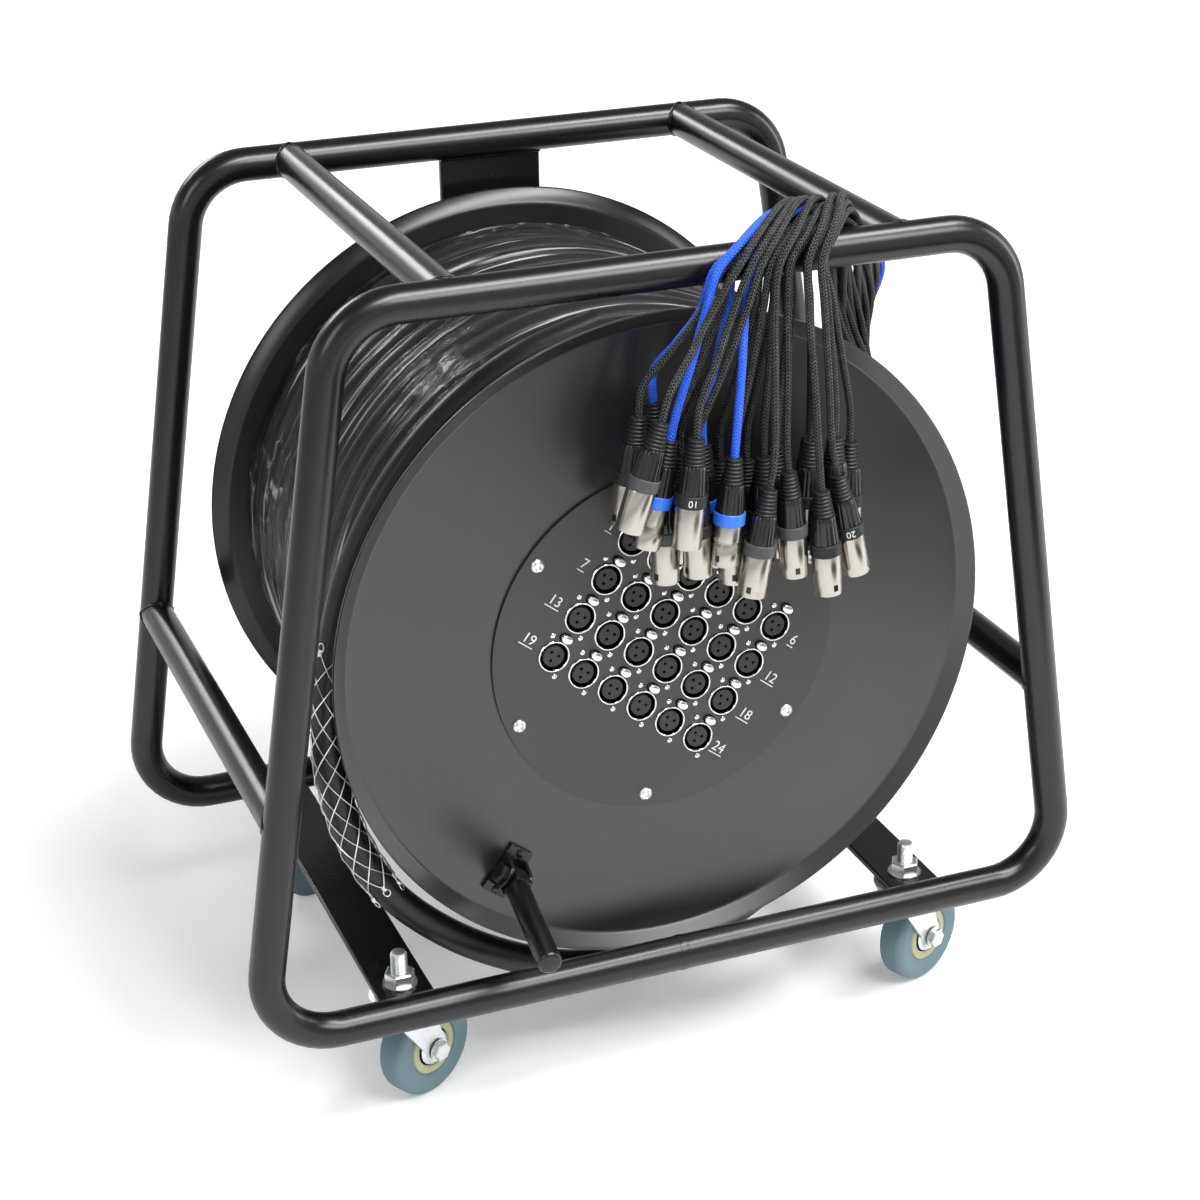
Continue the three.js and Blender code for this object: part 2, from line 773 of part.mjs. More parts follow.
// The boot where the cable fans out, in line with the cable's end
function fanoutBoot() {
  const profile = [
    [0, seatGap],
    [bootBottomRadius, seatGap],
    [bootBottomRadius, bootCuffLength],
    [bootTopRadius, bootLength],
    [0, bootLength],
  ];
  const boot = uprightTurned(turned(profile, strandSides)).applyQuaternion(bootTurn);
  return boot.translate(bootFoot.x, bootFoot.y, bootFoot.z);
}

// One strand's stations: up from the boot, round the drum, over the front top rail and down to the plugs
function strandLine(index) {
  const railPlace = strandRailPlaces[index];
  const side = index - (strandRailPlaces.length - 1) / 2;
  const [endX, endZ] = strandEnds[index];
  const end = place(endX, -loopPlane - plugStandoff, endZ);
  const [besideX, besideY] = strandBootPlaces[index];
  const start = place(besideX, besideY, bootLength + seatGap).applyQuaternion(bootTurn).add(bootFoot);
  const stations = [start, start.clone().addScaledVector(bootDirection, strandBootRun)];
  for (const angle of strandArcAngles) {
    const height = drumHeight + strandArcRadius * Math.sin(angle);
    const depth = strandArcPlace + side * strandArcPitch;
    stations.push(place(strandArcRadius * Math.cos(angle), frontFace + depth, height));
  }
  for (const row of [strandFan, strandUnder]) {
    const depth = row.y + side * row.stepY;
    stations.push(place(row.x + side * row.stepX, frontFace + depth, row.z + side * row.stepZ));
  }
  strandRailAngles.forEach((angle, i) => {
    const y = -loopPlane + strandRailRadius * Math.cos(angle);
    const z = topRailHeight + strandRailRadius * Math.sin(angle);
    stations.push(place(railPlace + strandRailLeans[i], y, z));
  });
  const front = place(railPlace, -loopPlane - strandRailRadius, strandFrontHeight);
  stations.push(front.lerp(place(end.x, front.y, strandFrontHeight), strandFrontShare));
  stations.push(end.clone().addScaledVector(upwards, strandHang), end);
  return stations;
}

function tailBundle() {
  const lines = strandRailPlaces.map((railPlace, index) => strandLine(index));
  return join(...lines.map((line) => tube(line, strandDiameter / 2, strandSides)));
}

// A plug, hanging: the shell with its band, the grip above it and the strain relief
function plug() {
  const top = -seatGap;
  const reliefEnd = top - plugReliefLength;
  const bandEnd = reliefEnd - plugBandLength;
  const shellEnd = bandEnd - plugShellLength;
  const profile = [
    [0, shellEnd],
    [plugShellRadius, shellEnd],
    [plugShellRadius, bandEnd],
    [plugBandRadius, bandEnd],
    [plugBandRadius, reliefEnd],
    [plugReliefRadius, top],
    [0, top],
  ];
  return uprightTurned(turned(profile, plugSides));
}

// Two staggered rows of plugs that touch, as they hang
function plugCluster() {
  const y = -loopPlane - plugStandoff;
  const plugs = strandEnds.flatMap(([x, z]) => [
    plug().translate(x - plugStaggerX, y - plugStaggerY, z),
    plug().translate(x + plugStaggerX, y + plugStaggerY, z),
  ]);
  return join(...plugs);
}

// Assembly
const model = new THREE.Group();
model.position.y = originShift;

piece(model, "front_frame_loop", frameLoop(-loopPlane), blackPaint);
piece(model, "rear_frame_loop", frameLoop(loopPlane), blackPaint);
for (const [name, side] of [["left", -1], ["right", 1]]) {
  piece(model, "top_crossbar_" + name, crossTube(side * crossbarSpread, topRailHeight), blackPaint);
  piece(model, "side_brace_" + name, crossTube(side * legSpread(braceHeight), braceHeight), blackPaint);
  piece(model, "caster_strap_" + name, casterStrap(side * strapSpread), blackPaint);
}
piece(model, "axle_support_plate", axleSupportPlate(), blackPaint);
piece(model, "drum_axle", drumAxle(), steel);

const casterSites = [
  ["front_left", -strapSpread, -stemPlace],
  ["front_right", strapSpread, -stemPlace],
  ["rear_left", -strapSpread, stemPlace],
  ["rear_right", strapSpread, stemPlace],
];
casterSites.forEach(([name, x, y], index) => {
  piece(model, "caster_stem_" + name, casterStem(), zinc).position.set(x, y, 0);
  const swivel = new THREE.Group();
  swivel.position.set(x, y, 0);
  swivel.rotation.z = casterHeadings[index];
  piece(swivel, "caster_fork_" + name, casterFork(), zinc);
  piece(swivel, "caster_wheel_" + name, casterWheel(), tyreRubber).position.set(wheelTrail, 0, wheelRadius);
  model.add(swivel);
});

const drum = new THREE.Group();
drum.position.z = drumHeight;
drum.rotation.y = drumRestAngle;
model.add(drum);
piece(drum, "front_flange", flange(frontFace, -1, panelOpeningRadius), blackPaint);
piece(drum, "rear_flange", flange(rearFace, 1, axleRadius + seatGap), blackPaint);
piece(drum, "drum_barrel", drumBarrel(), blackPaint);
piece(drum, "hub_bearing", hubBearing(), steel);
piece(drum, "cable_core", cableCore(), cableJacket);
piece(drum, "cable_outer_layer", cableOuterLayer(), cableJacket);
piece(drum, "connector_panel", connectorPanel(), socketBlack);
piece(drum, "crank_bracket", crankBracket(), blackPaint);
piece(drum, "crank_handle", crankHandle(), blackPaint);
socketPlaces.forEach(([x, z], index) => {
  const number = String(index + 1).padStart(2, "0");
  piece(drum, "latch_" + number, socketLatch(x, z), chrome);
});

piece(model, "multicore_tail", tube(multicoreStations, cableRadius, cordSides), cableJacket);
piece(model, "cable_grip", cableGrip(), wireSteel);
piece(model, "fanout_boot", fanoutBoot(), bootRubber);
piece(model, "tail_bundle", tailBundle(), braid);
piece(model, "plug_cluster", plugCluster(), chrome);

export default model;
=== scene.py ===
from math import atan2, cos, degrees, pi, radians, sin, sqrt, tan

import bmesh
import bpy
from mathutils import Matrix, Vector, noise


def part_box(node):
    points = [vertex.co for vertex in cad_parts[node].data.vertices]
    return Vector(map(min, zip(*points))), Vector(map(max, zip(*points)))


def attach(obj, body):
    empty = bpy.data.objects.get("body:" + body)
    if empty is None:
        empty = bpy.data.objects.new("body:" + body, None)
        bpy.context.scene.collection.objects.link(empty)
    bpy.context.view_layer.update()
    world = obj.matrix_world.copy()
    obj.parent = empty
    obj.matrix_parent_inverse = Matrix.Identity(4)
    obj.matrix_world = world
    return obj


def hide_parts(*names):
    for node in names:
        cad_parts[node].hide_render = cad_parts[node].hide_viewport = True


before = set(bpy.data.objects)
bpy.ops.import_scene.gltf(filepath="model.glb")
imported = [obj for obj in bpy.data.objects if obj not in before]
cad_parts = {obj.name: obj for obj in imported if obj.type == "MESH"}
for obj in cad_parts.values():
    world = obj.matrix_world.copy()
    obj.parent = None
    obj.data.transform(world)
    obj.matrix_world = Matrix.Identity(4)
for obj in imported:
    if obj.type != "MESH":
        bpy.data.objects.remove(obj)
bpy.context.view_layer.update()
print("frame loaded with", len(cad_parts), "nodes")


def at(x=0, y=0, z=0):
    return Matrix.Translation((x, y, z))


def spin(angle, axis="Z"):
    return Matrix.Rotation(radians(angle), 4, axis)


mm = 0.001
loopPlane = 186.1  # middle of the tube loops in front and behind, from the middle of the frame
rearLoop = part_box("rear_frame_loop")
shiftY = (rearLoop[0][1] + rearLoop[1][1]) / 2 - loopPlane * mm
drumHeight = 332
world = at(0, shiftY) @ Matrix.Scale(mm, 4)
drumWorld = world @ at(0, 0, drumHeight) @ spin(37.7, "Y")
upright = spin(90, "X")  # turns what is drawn along Y to point up
forward = upright  # and what is drawn facing up to face the front


def addObject(name, data):
    thing = bpy.data.objects.new(name, data)
    bpy.context.scene.collection.objects.link(thing)
    return thing


# Node helpers: inputs are a dictionary of numbers, colours or the sockets that feed them
def feed(tree, sockets, inputs):
    for key, value in inputs.items():
        if isinstance(value, bpy.types.NodeSocket):
            tree.links.new(value, sockets[key])
        else:
            sockets[key].default_value = value


def addNode(tree, kind, inputs=None, **settings):
    node = tree.nodes.new(kind)
    for key, value in settings.items():
        setattr(node, key, value)
    feed(tree, node.inputs, inputs or {})
    return node


def mathNode(tree, operation, *values):
    return addNode(tree, "ShaderNodeMath", dict(enumerate(values)), operation=operation).outputs[0]


def times(tree, first, second):
    return mathNode(tree, "MULTIPLY", first, second)


def vectorNode(tree, operation, inputs, output="Vector"):
    return addNode(tree, "ShaderNodeVectorMath", inputs, operation=operation).outputs[output]


def rangeNode(tree, value, fromEnds, toEnds=(0, 1), **settings):
    inputs = dict(zip(("From Min", "From Max", "To Min", "To Max"), (*fromEnds, *toEnds)))
    return addNode(tree, "ShaderNodeMapRange", {"Value": value, **inputs}, **settings).outputs["Result"]


def mixNode(tree, share, first, second):
    inputs = {"Factor": share, "A": first, "B": second}
    return addNode(tree, "ShaderNodeMix", inputs, data_type="RGBA").outputs["Result"]


def noiseNode(tree, place, **inputs):
    return addNode(tree, "ShaderNodeTexNoise", {"Vector": place, **inputs}).outputs["Fac"]


def bumpNode(tree, height, strength, distance):
    inputs = {"Height": height, "Strength": strength, "Distance": distance}
    return addNode(tree, "ShaderNodeBump", inputs).outputs["Normal"]


def startMaterial(name):
    material = bpy.data.materials.new(name)
    material.use_nodes = True
    tree = material.node_tree
    return material, tree, tree.nodes["Principled BSDF"].inputs, addNode(tree, "ShaderNodeTexCoord").outputs


# Camera, light and floor
studio = {
    "cameraPlace": (-0.6222, -1.6272, 1.0776),
    "azimuth": -21.35,
    "elevation": 24.14,
    "roll": -0.71,
    "lens": 76.35,
    "sensor": 36,
    "white": (1, 1, 1, 1),
    "floorColor": (0.86, 0.86, 0.86, 1),
    "floorHalf": 14,
    "floorLift": (0.26, 0.85),  # near the drum and far behind it
    "liftReach": (0.7, 3.2),
    "mirroredLift": 0.3,  # the share of that lift that mirrored rays meet
    "worldLevel": 0.22,
    "horizon": (0.10, 0.42),  # the white backdrop fades into the dim ceiling between these heights
    "card": (0.86, -1.32),  # a dark card on the floor that only mirrored rays meet
    "cardReach": (0.45, 0.72),
    "cardColor": (0.01, 0.01, 0.01, 1),
}
# Each lamp's place, aim, size and power
lamps = {
    "topBox": ((0.6, -0.85, 2.55), (0, -0.1, 0.35), (2.4, 0.5), 78),
    "frontTop": ((0.9, -1.85, 2.2), (0, 0, 0.3), (1.6, 0.8), 46),
    "keyLeft": ((-2.2, -1.1, 1.9), (0, 0, 0.35), (0.7, 1.2), 14),
    "backLeft": ((-1.0, 2.5, 1.75), (0, 0, 0.4), (1.5, 0.45), 26),
    "sideRight": ((2.3, -0.45, 0.95), (0, 0, 0.35), (0.5, 1.6), 16),
}


def addCamera():
    azimuth, elevation, roll = (radians(studio[k]) for k in ("azimuth", "elevation", "roll"))
    level = cos(elevation)
    back = Vector((sin(azimuth) * level, -cos(azimuth) * level, sin(elevation)))
    side = Vector((0, 0, 1)).cross(back).normalized()
    up = back.cross(side)
    right = side * cos(roll) + up * sin(roll)
    raised = up * cos(roll) - side * sin(roll)
    data = bpy.data.cameras.new("photoCamera")
    data.lens, data.sensor_width, data.sensor_fit = studio["lens"], studio["sensor"], "HORIZONTAL"
    camera = addObject("photoCamera", data)
    place = Vector(studio["cameraPlace"]) + Vector((0, shiftY, 0))
    camera.matrix_world = at(*place) @ Matrix((right, raised, back)).transposed().to_4x4()
    bpy.context.scene.camera = camera


def addLamps():
    for name, (place, aim, size, power) in lamps.items():
        data = bpy.data.lights.new(name, "AREA")
        data.shape, data.energy = "RECTANGLE", power
        data.size, data.size_y = size
        lamp = addObject(name, data)
        lamp.location = place
        lamp.rotation_euler = (Vector(aim) - Vector(place)).to_track_quat("-Z", "Y").to_euler()


def addWorld():
    scene = bpy.context.scene
    scene.view_settings.view_transform = "Standard"
    scene.world = bpy.data.worlds.new("studioWorld")
    scene.world.use_nodes = True
    tree = scene.world.node_tree
    ray = addNode(tree, "ShaderNodeLightPath").outputs
    place = addNode(tree, "ShaderNodeTexCoord").outputs["Generated"]
    height = addNode(tree, "ShaderNodeSeparateXYZ", {0: place}).outputs["Z"]
    fade = rangeNode(tree, height, studio["horizon"], (1, studio["worldLevel"]))
    full = mathNode(tree, "MAXIMUM", fade, ray["Is Camera Ray"])
    mirrored = mathNode(tree, "MAXIMUM", ray["Is Glossy Ray"], ray["Is Transmission Ray"])
    seen = mathNode(tree, "MAXIMUM", ray["Is Camera Ray"], mirrored)
    plain = tree.nodes["Background"]
    feed(tree, plain.inputs, {"Color": studio["white"], "Strength": studio["worldLevel"]})
    white = addNode(tree, "ShaderNodeBackground", {"Color": studio["white"], "Strength": full})
    mix = addNode(tree, "ShaderNodeMixShader", {"Fac": seen, 1: plain.outputs[0], 2: white.outputs[0]})
    feed(tree, tree.nodes["World Output"].inputs, {"Surface": mix.outputs[0]})


def addFloor():
    half = studio["floorHalf"]
    mesh = bpy.data.meshes.new("studioFloor")
    corners = [(-half, -half, 0), (half, -half, 0), (half, half, 0), (-half, half, 0)]
    mesh.from_pydata(corners, [], [(0, 1, 2, 3)])
    material, tree, shader, place = startMaterial("studioFloor")
    ray = addNode(tree, "ShaderNodeLightPath").outputs
    mirrored = mathNode(tree, "MAXIMUM", ray["Is Glossy Ray"], ray["Is Transmission Ray"])
    seen = mathNode(tree, "MULTIPLY_ADD", mirrored, studio["mirroredLift"], ray["Is Camera Ray"])
    reach = vectorNode(tree, "LENGTH", {0: place["Object"]}, "Value")
    lift = times(tree, rangeNode(tree, reach, studio["liftReach"], studio["floorLift"]), seen)
    feed(tree, shader, {"Base Color": studio["floorColor"], "Roughness": 0.9, "Specular IOR Level": 0.1})
    feed(tree, shader, {"Emission Color": studio["white"], "Emission Strength": lift})
    offset = vectorNode(tree, "DISTANCE", {0: place["Object"], 1: (*studio["card"], 0)}, "Value")
    card = rangeNode(tree, offset, studio["cardReach"], (1, 0), interpolation_type="SMOOTHSTEP")
    covered = times(tree, card, ray["Is Glossy Ray"])
    dark = addNode(tree, "ShaderNodeBsdfDiffuse", {"Color": studio["cardColor"]})
    plain = tree.nodes["Principled BSDF"]
    both = addNode(tree, "ShaderNodeMixShader", {"Fac": covered, 1: plain.outputs[0], 2: dark.outputs[0]})
    feed(tree, tree.nodes["Material Output"].inputs, {"Surface": both.outputs[0]})
    mesh.materials.append(material)
    addObject("studioFloor", mesh)


addCamera()
addLamps()
addWorld()
addFloor()
print("camera, lamps, world and floor made")


# Node trees that take their inputs by name; a text as an input's value says its kind
socketKinds = {float: "Float", int: "Int", tuple: "Color"}


def startTree(kind, name, inputs, outputs):
    tree = bpy.data.node_groups.new(name, kind)
    for way, rows in (("INPUT", inputs), ("OUTPUT", outputs)):
        for label, value in rows.items():
            named = isinstance(value, str)
            socketKind = "NodeSocket" + (value if named else socketKinds[type(value)])
            socket = tree.interface.new_socket(label, in_out=way, socket_type=socketKind)
            if not named:
                socket.default_value = value
    return tree, addNode(tree, "NodeGroupInput").outputs, addNode(tree, "NodeGroupOutput").inputs


def buildGrainGroup():
    inputs = {"Vector": "Vector", "Scale": 800.0, "Low": 0.3, "High": 0.5}
    outputs = {"Roughness": "Float", "Height": "Float"}
    tree, source, sink = startTree("ShaderNodeTree", "surfaceGrain", inputs, outputs)
    fine = noiseNode(tree, source["Vector"], Scale=source["Scale"], Detail=3.0, Roughness=0.6)
    broad = noiseNode(tree, source["Vector"], Scale=9.0, Detail=5.0)
    spread = rangeNode(tree, broad, (0.3, 0.7), (source["Low"], source["High"]))
    feed(tree, sink, {"Roughness": spread, "Height": fine})
    return tree


def buildWearGroup():
    inputs = {"Vector": "Vector", "Color": (0.02, 0.02, 0.02, 1), "Worn Color": (0.2, 0.2, 0.2, 1)}
    inputs.update({"Amount": 0.3, "Scale": 30.0})
    outputs = {"Color": "Color", "Mask": "Float"}
    tree, source, sink = startTree("ShaderNodeTree", "wearAndDust", inputs, outputs)
    patches = noiseNode(tree, source["Vector"], Scale=source["Scale"], Detail=8.0, Roughness=0.7)
    specks = noiseNode(tree, source["Vector"], Scale=420.0, Detail=2.0)
    mask = rangeNode(tree, times(tree, patches, specks), (0.22, 0.42))
    amount = times(tree, mask, source["Amount"])
    worn = mixNode(tree, amount, source["Color"], source["Worn Color"])
    feed(tree, sink, {"Color": worn, "Mask": amount})
    return tree


def buildBraidGroup():
    inputs = {"Vector": "Vector", "Around": 6.0, "Along": 300.0}
    outputs = {"Mask": "Float", "Height": "Float"}
    tree, source, sink = startTree("ShaderNodeTree", "braidWeave", inputs, outputs)
    split = addNode(tree, "ShaderNodeSeparateXYZ", {"Vector": source["Vector"]}).outputs
    zigzag = mathNode(tree, "PINGPONG", times(tree, split["X"], source["Around"]), 0.5)
    along = times(tree, split["Y"], source["Along"])
    phase = mathNode(tree, "ADD", times(tree, zigzag, 2.2), along)
    wave = mathNode(tree, "SINE", times(tree, phase, 2 * pi))
    seam = mathNode(tree, "ABSOLUTE", mathNode(tree, "SUBTRACT", zigzag, 0.25))
    inside = mathNode(tree, "LESS_THAN", seam, 0.19)
    over = times(tree, mathNode(tree, "GREATER_THAN", wave, 0.35), inside)
    feed(tree, sink, {"Mask": over, "Height": times(tree, wave, inside)})
    return tree


grainGroup, wearGroup, braidGroup = buildGrainGroup(), buildWearGroup(), buildBraidGroup()

# For each finish its colour, worn colour, wear, metal, roughness from and to, specular, coat, and the
# scale and depth in metres of its grain; a grey is one number
finishes = {
    "powderCoat": (0.0030, 0.018, 0.10, 0, 0.25, 0.31, 0.5, 0, 900, 0.000025),
    "flangePaint": ((0.0110, 0.0110, 0.0108), 0.030, 0.10, 0, 0.28, 0.36, 0.85, 0, 900, 0.00006),
    "panelPaint": ((0.011, 0.011, 0.0108), 0.032, 0.08, 0, 0.32, 0.42, 0.74, 0, 1100, 0.00005),
    "cableJacket": ((0.01, 0.0095, 0.011), (0.035, 0.034, 0.038), 0.2, 0, 0.3, 0.44, 0.35, 0, 700, 0.00005),
    "zincPlate": ((0.78, 0.80, 0.81), (0.52, 0.54, 0.55), 0.3, 1, 0.26, 0.42, 0.5, 0, 500, 0.00004),
    "turnedSteel": ((0.44, 0.45, 0.46), 0.28, 0.4, 1, 0.26, 0.4, 0.5, 0, 600, 0.00004),
    "brightNickel": ((0.74, 0.73, 0.71), (0.52, 0.51, 0.48), 0.2, 1, 0.14, 0.22, 0.5, 0, 900, 0.00002),
    "satinNickel": ((0.46, 0.44, 0.40), (0.30, 0.29, 0.26), 0.3, 1, 0.18, 0.28, 0.5, 0, 900, 0.00002),
    "insertPlastic": ((0.030, 0.030, 0.031), 0.07, 0.1, 0, 0.4, 0.5, 0.3, 0, 1200, 0.00004),
    # near-black painted shade for the socket wells, the pin holes and the gap beside each wheel's disc
    "holeBlack": (0.003, 0.008, 0.1, 0, 0.7, 0.8, 0.1, 0, 900, 0.00002),
    "plugPlastic": ((0.0075, 0.0075, 0.008), 0.035, 0.15, 0, 0.16, 0.24, 0.4, 0.2, 800, 0.00003),
    "reliefRubber": ((0.012, 0.012, 0.0125), 0.05, 0.15, 0, 0.36, 0.46, 0.3, 0, 900, 0.00005),
    "bootRubber": ((0.012, 0.012, 0.013), 0.05, 0.2, 0, 0.42, 0.55, 0.3, 0, 900, 0.00008),
    "ringBlue": ((0.030, 0.165, 0.80), (0.10, 0.22, 0.75), 0.2, 0, 0.3, 0.4, 0.4, 0.1, 900, 0.00003),
    "ringBlack": ((0.014, 0.014, 0.015), 0.05, 0.2, 0, 0.4, 0.5, 0.3, 0, 900, 0.00003),
    "ringGrey": ((0.060, 0.063, 0.066), 0.12, 0.2, 0, 0.4, 0.5, 0.3, 0, 900, 0.00003),
    "tyreRubber": ((0.155, 0.240, 0.272), (0.22, 0.28, 0.30), 0.35, 0, 0.45, 0.6, 0.3, 0, 500, 0.00008),
    "creamRing": ((0.50, 0.50, 0.31), (0.38, 0.38, 0.26), 0.3, 0, 0.45, 0.6, 0.3, 0, 500, 0.00006),
    "printWhite": (0.72, 0.42, 0.3, 0, 0.5, 0.6, 0.2, 0, 900, 0.00002),
}
wearScale = 24


def colorOf(value):
    return (value, value, value, 1) if isinstance(value, float) else (*value, 1)


def addFinish(name, color, worn, wear, metal, low, high, specular, coat, scale, depth):
    material, tree, shader, place = startMaterial(name)
    inputs = {"Vector": place["Object"], "Color": colorOf(color), "Worn Color": colorOf(worn)}
    inputs.update({"Amount": wear, "Scale": wearScale})
    paint = addNode(tree, "ShaderNodeGroup", inputs, node_tree=wearGroup).outputs["Color"]
    inputs = {"Vector": place["Object"], "Scale": scale, "Low": low, "High": high}
    grain = addNode(tree, "ShaderNodeGroup", inputs, node_tree=grainGroup).outputs
    bump = bumpNode(tree, grain["Height"], 0.6, depth)
    feed(tree, shader, {"Base Color": paint, "Roughness": grain["Roughness"], "Normal": bump})
    feed(tree, shader, {"Metallic": metal, "Specular IOR Level": specular})
    feed(tree, shader, {"Coat Weight": coat, "Coat Roughness": 0.12})
    return material


def addBraid(name, color, fleck, sheen):
    material, tree, shader, place = startMaterial(name)
    inputs = {"Vector": place["UV"], "Around": 4, "Along": 420}
    weave = addNode(tree, "ShaderNodeGroup", inputs, node_tree=braidGroup).outputs
    broken = noiseNode(tree, place["Object"], Scale=260.0, Detail=2.0)
    woven = mixNode(tree, times(tree, weave["Mask"], broken), colorOf(color), colorOf(fleck))
    feed(tree, shader, {"Base Color": woven, "Roughness": 0.55, "Specular IOR Level": 0.25})
    feed(tree, shader, {"Sheen Weight": sheen, "Normal": bumpNode(tree, weave["Height"], 0.8, 0.0004)})
    return material


def addFilm():
    material, tree, shader, place = startMaterial("stretchFilm")
    inputs = {"Vector": place["UV"], "Scale": (9, 46, 1)}  # drawn out along the turns
    drawn = addNode(tree, "ShaderNodeMapping", inputs).outputs["Vector"]
    streaks = noiseNode(tree, drawn, Scale=1.0, Detail=2.0, Roughness=0.5)
    folds = noiseNode(tree, place["Object"], Scale=60.0, Detail=2.0, Distortion=1.2)
    crumpled, valley = (
        addNode(tree, "ShaderNodeAttribute", attribute_name=label, attribute_type="GEOMETRY").outputs["Fac"]
        for label in ("crumpled", "valley")
    )
    folded = times(tree, folds, times(tree, crumpled, 1.4))
    bump = bumpNode(tree, mathNode(tree, "ADD", streaks, folded), 1.0, 0.0022)
    # The streaks and the folds of the crumpled patches are painted highlights: whitish glints in the film's
    # colour, where the film also grows less clear
    paintedStreakGlint = times(tree, rangeNode(tree, streaks, (0.60, 0.68)), 0.8)
    paintedCreaseGlint = times(tree, rangeNode(tree, folds, (0.56, 0.70)), crumpled)
    shown = mathNode(tree, "SUBTRACT", 1.0, valley)
    white = times(tree, mathNode(tree, "MAXIMUM", paintedStreakGlint, paintedCreaseGlint), shown)
    # The film's colour goes near black in the grooves between turns, a painted shade
    grooveShadedColor = mixNode(tree, valley, (0.034, 0.029, 0.031, 1), (0.004, 0.004, 0.004, 1))
    paintedGlintColor = mixNode(tree, white, grooveShadedColor, (0.62, 0.62, 0.63, 1))
    feed(tree, shader, {"Base Color": paintedGlintColor, "Alpha": rangeNode(tree, white, (0, 1), (0.42, 0.92))})
    feed(tree, shader, {"Roughness": 0.2, "Specular IOR Level": 0.5, "Normal": bump})
    return material


materials = {name: addFinish(name, *values) for name, values in finishes.items()}
materials["blackBraid"] = addBraid("blackBraid", (0.0035, 0.004, 0.004), (0.21, 0.22, 0.21), 0.0)
materials["blueBraid"] = addBraid("blueBraid", (0.016, 0.090, 0.78), (0.12, 0.32, 0.98), 0.02)
materials["stretchFilm"] = addFilm()
print("materials made:", len(materials))

# Mesh helpers: every piece is drawn in millimetres and put in its place by one matrix
def placeNew(bm, mark, place):
    if place is not None:
        bm.verts.ensure_lookup_table()
        bmesh.ops.transform(bm, matrix=place, verts=bm.verts[mark:])


def turned(bm, profile, segments=48, place=None, finish=0, flutes=None):
    mark = len(bm.verts)
    closed = profile[0] == profile[-1]
    rings = []
    for radius, along in profile[:-1] if closed else profile:
        ring = []
        for i in range(segments if radius > 1e-6 else 1):
            angle = 2 * pi * i / segments
            size = radius * (flutes(angle, along) if flutes else 1)
            ring.append(bm.verts.new((size * cos(angle), along, size * sin(angle))))
        rings.append(ring)
    pairs = list(zip(rings, rings[1:]))
    if closed:
        pairs.append((rings[-1], rings[0]))
    for first, second in pairs:
        for i in range(segments):
            corners = []
            for ring, k in ((first, i), (first, i + 1), (second, i + 1), (second, i)):
                vert = ring[k % len(ring)]
                if vert not in corners:
                    corners.append(vert)
            if len(corners) > 2:
                bm.faces.new(corners).material_index = finish
    placeNew(bm, mark, place)


def swept(bm, points, radius, sides=24, closed=False, radii=None):
    count = len(points)
    points = [Vector(p) for p in points]
    tangents = []
    for i in range(count):
        before = points[i - 1] if closed or i else points[0]
        after = points[(i + 1) % count] if closed or i < count - 1 else points[-1]
        tangents.append((after - before).normalized())
    normal = tangents[0].orthogonal()
    layer = bm.loops.layers.uv.verify()
    rings, run = [], [0]
    for i in range(count):
        normal = (normal - tangents[i] * normal.dot(tangents[i])).normalized()
        side = tangents[i].cross(normal)
        size = radii[i] if radii else radius
        ring = []
        for k in range(sides):
            angle = 2 * pi * k / sides
            ring.append(bm.verts.new(points[i] + (normal * cos(angle) + side * sin(angle)) * size))
        rings.append(ring)
        run.append(run[-1] + (points[(i + 1) % count] - points[i]).length * mm)
    for i in range(count if closed else count - 1):
        for k in range(sides):
            n, j = (k + 1) % sides, (i + 1) % count
            face = bm.faces.new((rings[i][k], rings[i][n], rings[j][n], rings[j][k]))
            for loop, u, v in zip(face.loops, (k, k + 1, k + 1, k), (i, i, i + 1, i + 1)):
                loop[layer].uv = (u / sides, run[v])
    if not closed:
        for ring in (rings[0], rings[-1]):
            bm.faces.new(ring)


def plated(bm, outline, low, high, place=None):
    mark = len(bm.verts)
    rings = [[bm.verts.new((x, y, z)) for x, z in outline] for y in (low, high)]
    bm.faces.new(rings[0])
    bm.faces.new(rings[1])
    for i in range(len(outline)):
        j = (i + 1) % len(outline)
        bm.faces.new((rings[0][i], rings[0][j], rings[1][j], rings[1][i]))
    placeNew(bm, mark, place)


def circleOutline(radius, count, x=0, z=0, start=0):
    angles = [start + 2 * pi * i / count for i in range(count)]
    return [(x + radius * cos(a), z + radius * sin(a)) for a in angles]


def hexHead(bm, flats, low, high, place):
    corner, chamfer = flats / sqrt(3), 0.8
    profile = [(0, low), (corner, low), (corner, high - chamfer), (corner - chamfer * 1.3, high), (0, high)]
    turned(bm, profile, 6, place)


def rod(radius, low, high):
    return [(0, low), (radius, low), (radius, high), (0, high)]


def oblong(left, right, low, high):
    return [(left, low), (right, low), (right, high), (left, high)]


def arcProfile(x, y, radius, first, last, steps):
    angles = [radians(first + (last - first) * i / steps) for i in range(steps + 1)]
    return [(x + radius * cos(a), y + radius * sin(a)) for a in angles]


def toMesh(bm, name):
    bmesh.ops.recalc_face_normals(bm, faces=bm.faces)
    mesh = bpy.data.meshes.new(name)
    bm.to_mesh(mesh)
    bm.free()
    return mesh


